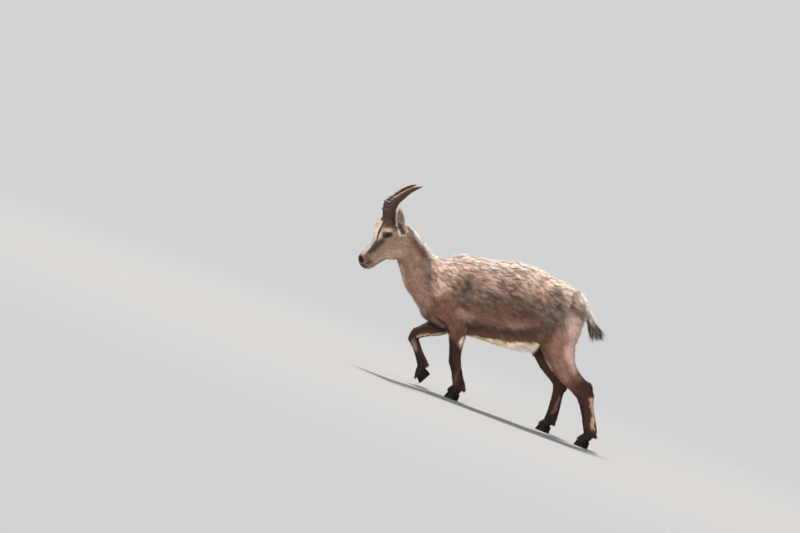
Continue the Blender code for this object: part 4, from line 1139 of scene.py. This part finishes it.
def eyeball(side, word, material):
    shape = bmesh.new()
    bmesh.ops.create_uvsphere(shape, u_segments=48, v_segments=32, radius=EYE_RADIUS * 0.001 * 0.995)
    mesh = bpy.data.meshes.new("eyeball_" + word)
    shape.to_mesh(mesh)
    shape.free()
    mesh.shade_smooth()
    mesh.materials.append(material)
    made = bpy.data.objects.new("eyeball_" + word, mesh)
    bpy.context.scene.collection.objects.link(made)
    location, turn, _ = eye_frame(side).decompose()
    made.matrix_world = Matrix.Translation(location) @ turn.to_matrix().to_4x4()
    return made


def eyelids(side, word, material):
    """The wet dark rim of the lids, a soft tube round the almond opening."""
    rings, sides = 64, 12
    points = []
    path = []
    for ring in range(rings):
        angle = 2 * math.pi * ring / rings
        across = math.cos(angle)
        along, height = across * 15.6, math.sin(angle) * (1 - 0.25 * across * across) * 9.0
        corner = 2.6 * max(-across, 0) ** 8
        height -= corner * 0.6
        out = math.sqrt(max(EYE_RADIUS ** 2 - along ** 2 * 0.80 - height ** 2, 1.0)) + 0.4
        path.append(np.array([along - corner, side * out, height]))
    for ring in range(rings):
        here, after, before = path[ring], path[(ring + 1) % rings], path[ring - 1]
        along = unit((after - before)[None])[0]
        away = unit((here * np.array([1, 0, 1]))[None])[0]
        out = np.cross(along, away)
        thick = 1.35 if here[2] > 0 else 0.95
        for step in range(sides):
            angle = 2 * math.pi * step / sides
            points.append(here + away * (1.2 + thick * 1.3 * math.cos(angle)) + out * thick * math.sin(angle))
    faces = []
    for ring in range(rings):
        for step in range(sides):
            low, high = ring * sides, (ring + 1) % rings * sides
            after = (step + 1) % sides
            faces.append((low + step, low + after, high + after, high + step))
    made = new_object("lids_" + word, placed(eye_frame(side), np.array(points)), faces)
    shape = bmesh.new()
    shape.from_mesh(made.data)
    bmesh.ops.recalc_face_normals(shape, faces=shape.faces)
    shape.to_mesh(made.data)
    shape.free()
    made.data.shade_smooth()
    paint(made.data, np.tile(rgb(34, 26, 24), (len(points), 1)))
    made.data.materials.append(material)
    return made


# ---- camera, light and floor
AIM = (-0.5267, 0.0, 0.5567)
CAMERA_AWAY, FRAME_WIDTH, CAMERA_LIFT, CAMERA_ROLL = 23.0, 4.2, 1.5, 20.5
# name, watts per square metre, spread in degrees, colour, direction of the light
LAMPS = [("back_top", 6.6, 9, (1.0, 0.95, 0.88), (1.6, -3.0, -5.2)),
         ("front_fill", 2.7, 30, (1.0, 0.95, 0.9), (2.6, 4.8, -0.7))]


def set_stage():
    scene = bpy.context.scene
    camera = bpy.data.cameras.new("camera")
    camera.sensor_width = 36.0
    camera.lens = 36.0 * CAMERA_AWAY / FRAME_WIDTH
    camera.clip_end = 200
    holder = bpy.data.objects.new("camera", camera)
    scene.collection.objects.link(holder)
    azimuth, height = math.radians(-VIEW_SWING), math.radians(CAMERA_LIFT)
    back = Vector((math.sin(azimuth) * math.cos(height), -math.cos(azimuth) * math.cos(height),
                   math.sin(height)))
    look = (-back).to_track_quat("-Z", "Y").to_matrix().to_4x4()
    roll = Matrix.Rotation(math.radians(CAMERA_ROLL), 4, "Z")
    holder.matrix_world = Matrix.Translation(Vector(AIM) + back * CAMERA_AWAY) @ look @ roll
    scene.camera = holder

    world = bpy.data.worlds.new("studio")
    world.use_nodes = True
    world.node_tree.nodes["Background"].inputs["Color"].default_value = (0.64, 0.645, 0.655, 1)
    world.node_tree.nodes["Background"].inputs["Strength"].default_value = 1.0
    scene.world = world

    for name, power, spread, colour, direction in LAMPS:
        lamp = bpy.data.lights.new(name, "SUN")
        lamp.energy, lamp.angle, lamp.color = power, math.radians(spread), colour
        held = bpy.data.objects.new(name, lamp)
        scene.collection.objects.link(held)
        held.rotation_mode = "QUATERNION"
        held.rotation_quaternion = Vector(direction).to_track_quat("-Z", "Y")

    shape = bmesh.new()
    bmesh.ops.create_circle(shape, cap_ends=True, segments=96, radius=9.0)
    mesh = bpy.data.meshes.new("floor")
    shape.to_mesh(mesh)
    shape.free()
    floor = bpy.data.objects.new("floor", mesh)
    scene.collection.objects.link(floor)
    floor.location = (0, 0, -0.0005)
    made, nodes, links, principled = shader("floor", 0.9, specular=0.1)
    principled.inputs["Base Color"].default_value = (0.272, 0.274, 0.28, 1)
    place = nodes.new("ShaderNodeTexCoord")
    away = nodes.new("ShaderNodeVectorMath")
    away.operation = "LENGTH"
    links.new(place.outputs["Object"], away.inputs[0])
    fade = nodes.new("ShaderNodeMapRange")
    fade.interpolation_type = "SMOOTHSTEP"
    fade.inputs["From Min"].default_value = 1.2
    fade.inputs["From Max"].default_value = 7.5
    links.new(away.outputs["Value"], fade.inputs["Value"])
    clear = nodes.new("ShaderNodeBsdfTransparent")
    mix = nodes.new("ShaderNodeMixShader")
    links.new(fade.outputs["Result"], mix.inputs["Fac"])
    links.new(principled.outputs["BSDF"], mix.inputs[1])
    links.new(clear.outputs["BSDF"], mix.inputs[2])
    links.new(mix.outputs["Shader"], nodes["Material Output"].inputs["Surface"])
    mesh.materials.append(made)


def main():
    bpy.context.scene.view_settings.view_transform = "Standard"
    coat_material = tinted("coat", 0.7, 0.004, 0.12, sheen=0.04, specular=0.12)
    skin_material = tinted("skin", 0.8, 0.004, 0.15, bump=0.0008, bump_size=0.0016, specular=0.3)
    horn_material = tinted("horn", 0.62, 0.003, 0.2, bump=0.0005, bump_size=0.0012, specular=0.3)
    hoof_material = tinted("hoof", 0.6, 0.002, 0.25, bump=0.0003, bump_size=0.001, specular=0.12)
    lid_material = tinted("lid", 0.4, 0.002, 0.15, bump=0.0002, bump_size=0.0008)
    ball_material = eye_material()

    fine, about = shaped_skin()
    hide = displayed_skin(fine, about, skin_material)
    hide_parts(*FLESH, "tail")
    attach(hide, "root")

    total = 0
    for made, triangles in grow_coat(fine, about, coat_material):
        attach(made, "root")
        total += triangles
        print("coat piece", made.name, triangles)
    print("coat triangles", total, "skin faces", len(hide.data.polygons))

    for side, word in ((-1, "left"), (1, "right")):
        sheath = horn(side, word, horn_material)
        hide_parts("horn_" + word)
        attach(sheath, "root")
        ball = eyeball(side, word, ball_material)
        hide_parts("eye_" + word)
        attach(ball, "root")
        rim = eyelids(side, word, lid_material)
        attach(rim, "root")
    for name in FEET:
        for step, letter in ((-1, "a"), (1, "b")):
            nail = claw(name, step, name + "_" + letter, hoof_material)
            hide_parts(name + "_" + letter)
            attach(nail, "root")
    for name in FETLOCKS:
        for step, letter in ((-1, "a"), (1, "b")):
            spur = dewclaw(name, step, name + "_" + letter, hoof_material)
            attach(spur, "root")

    set_stage()


main()
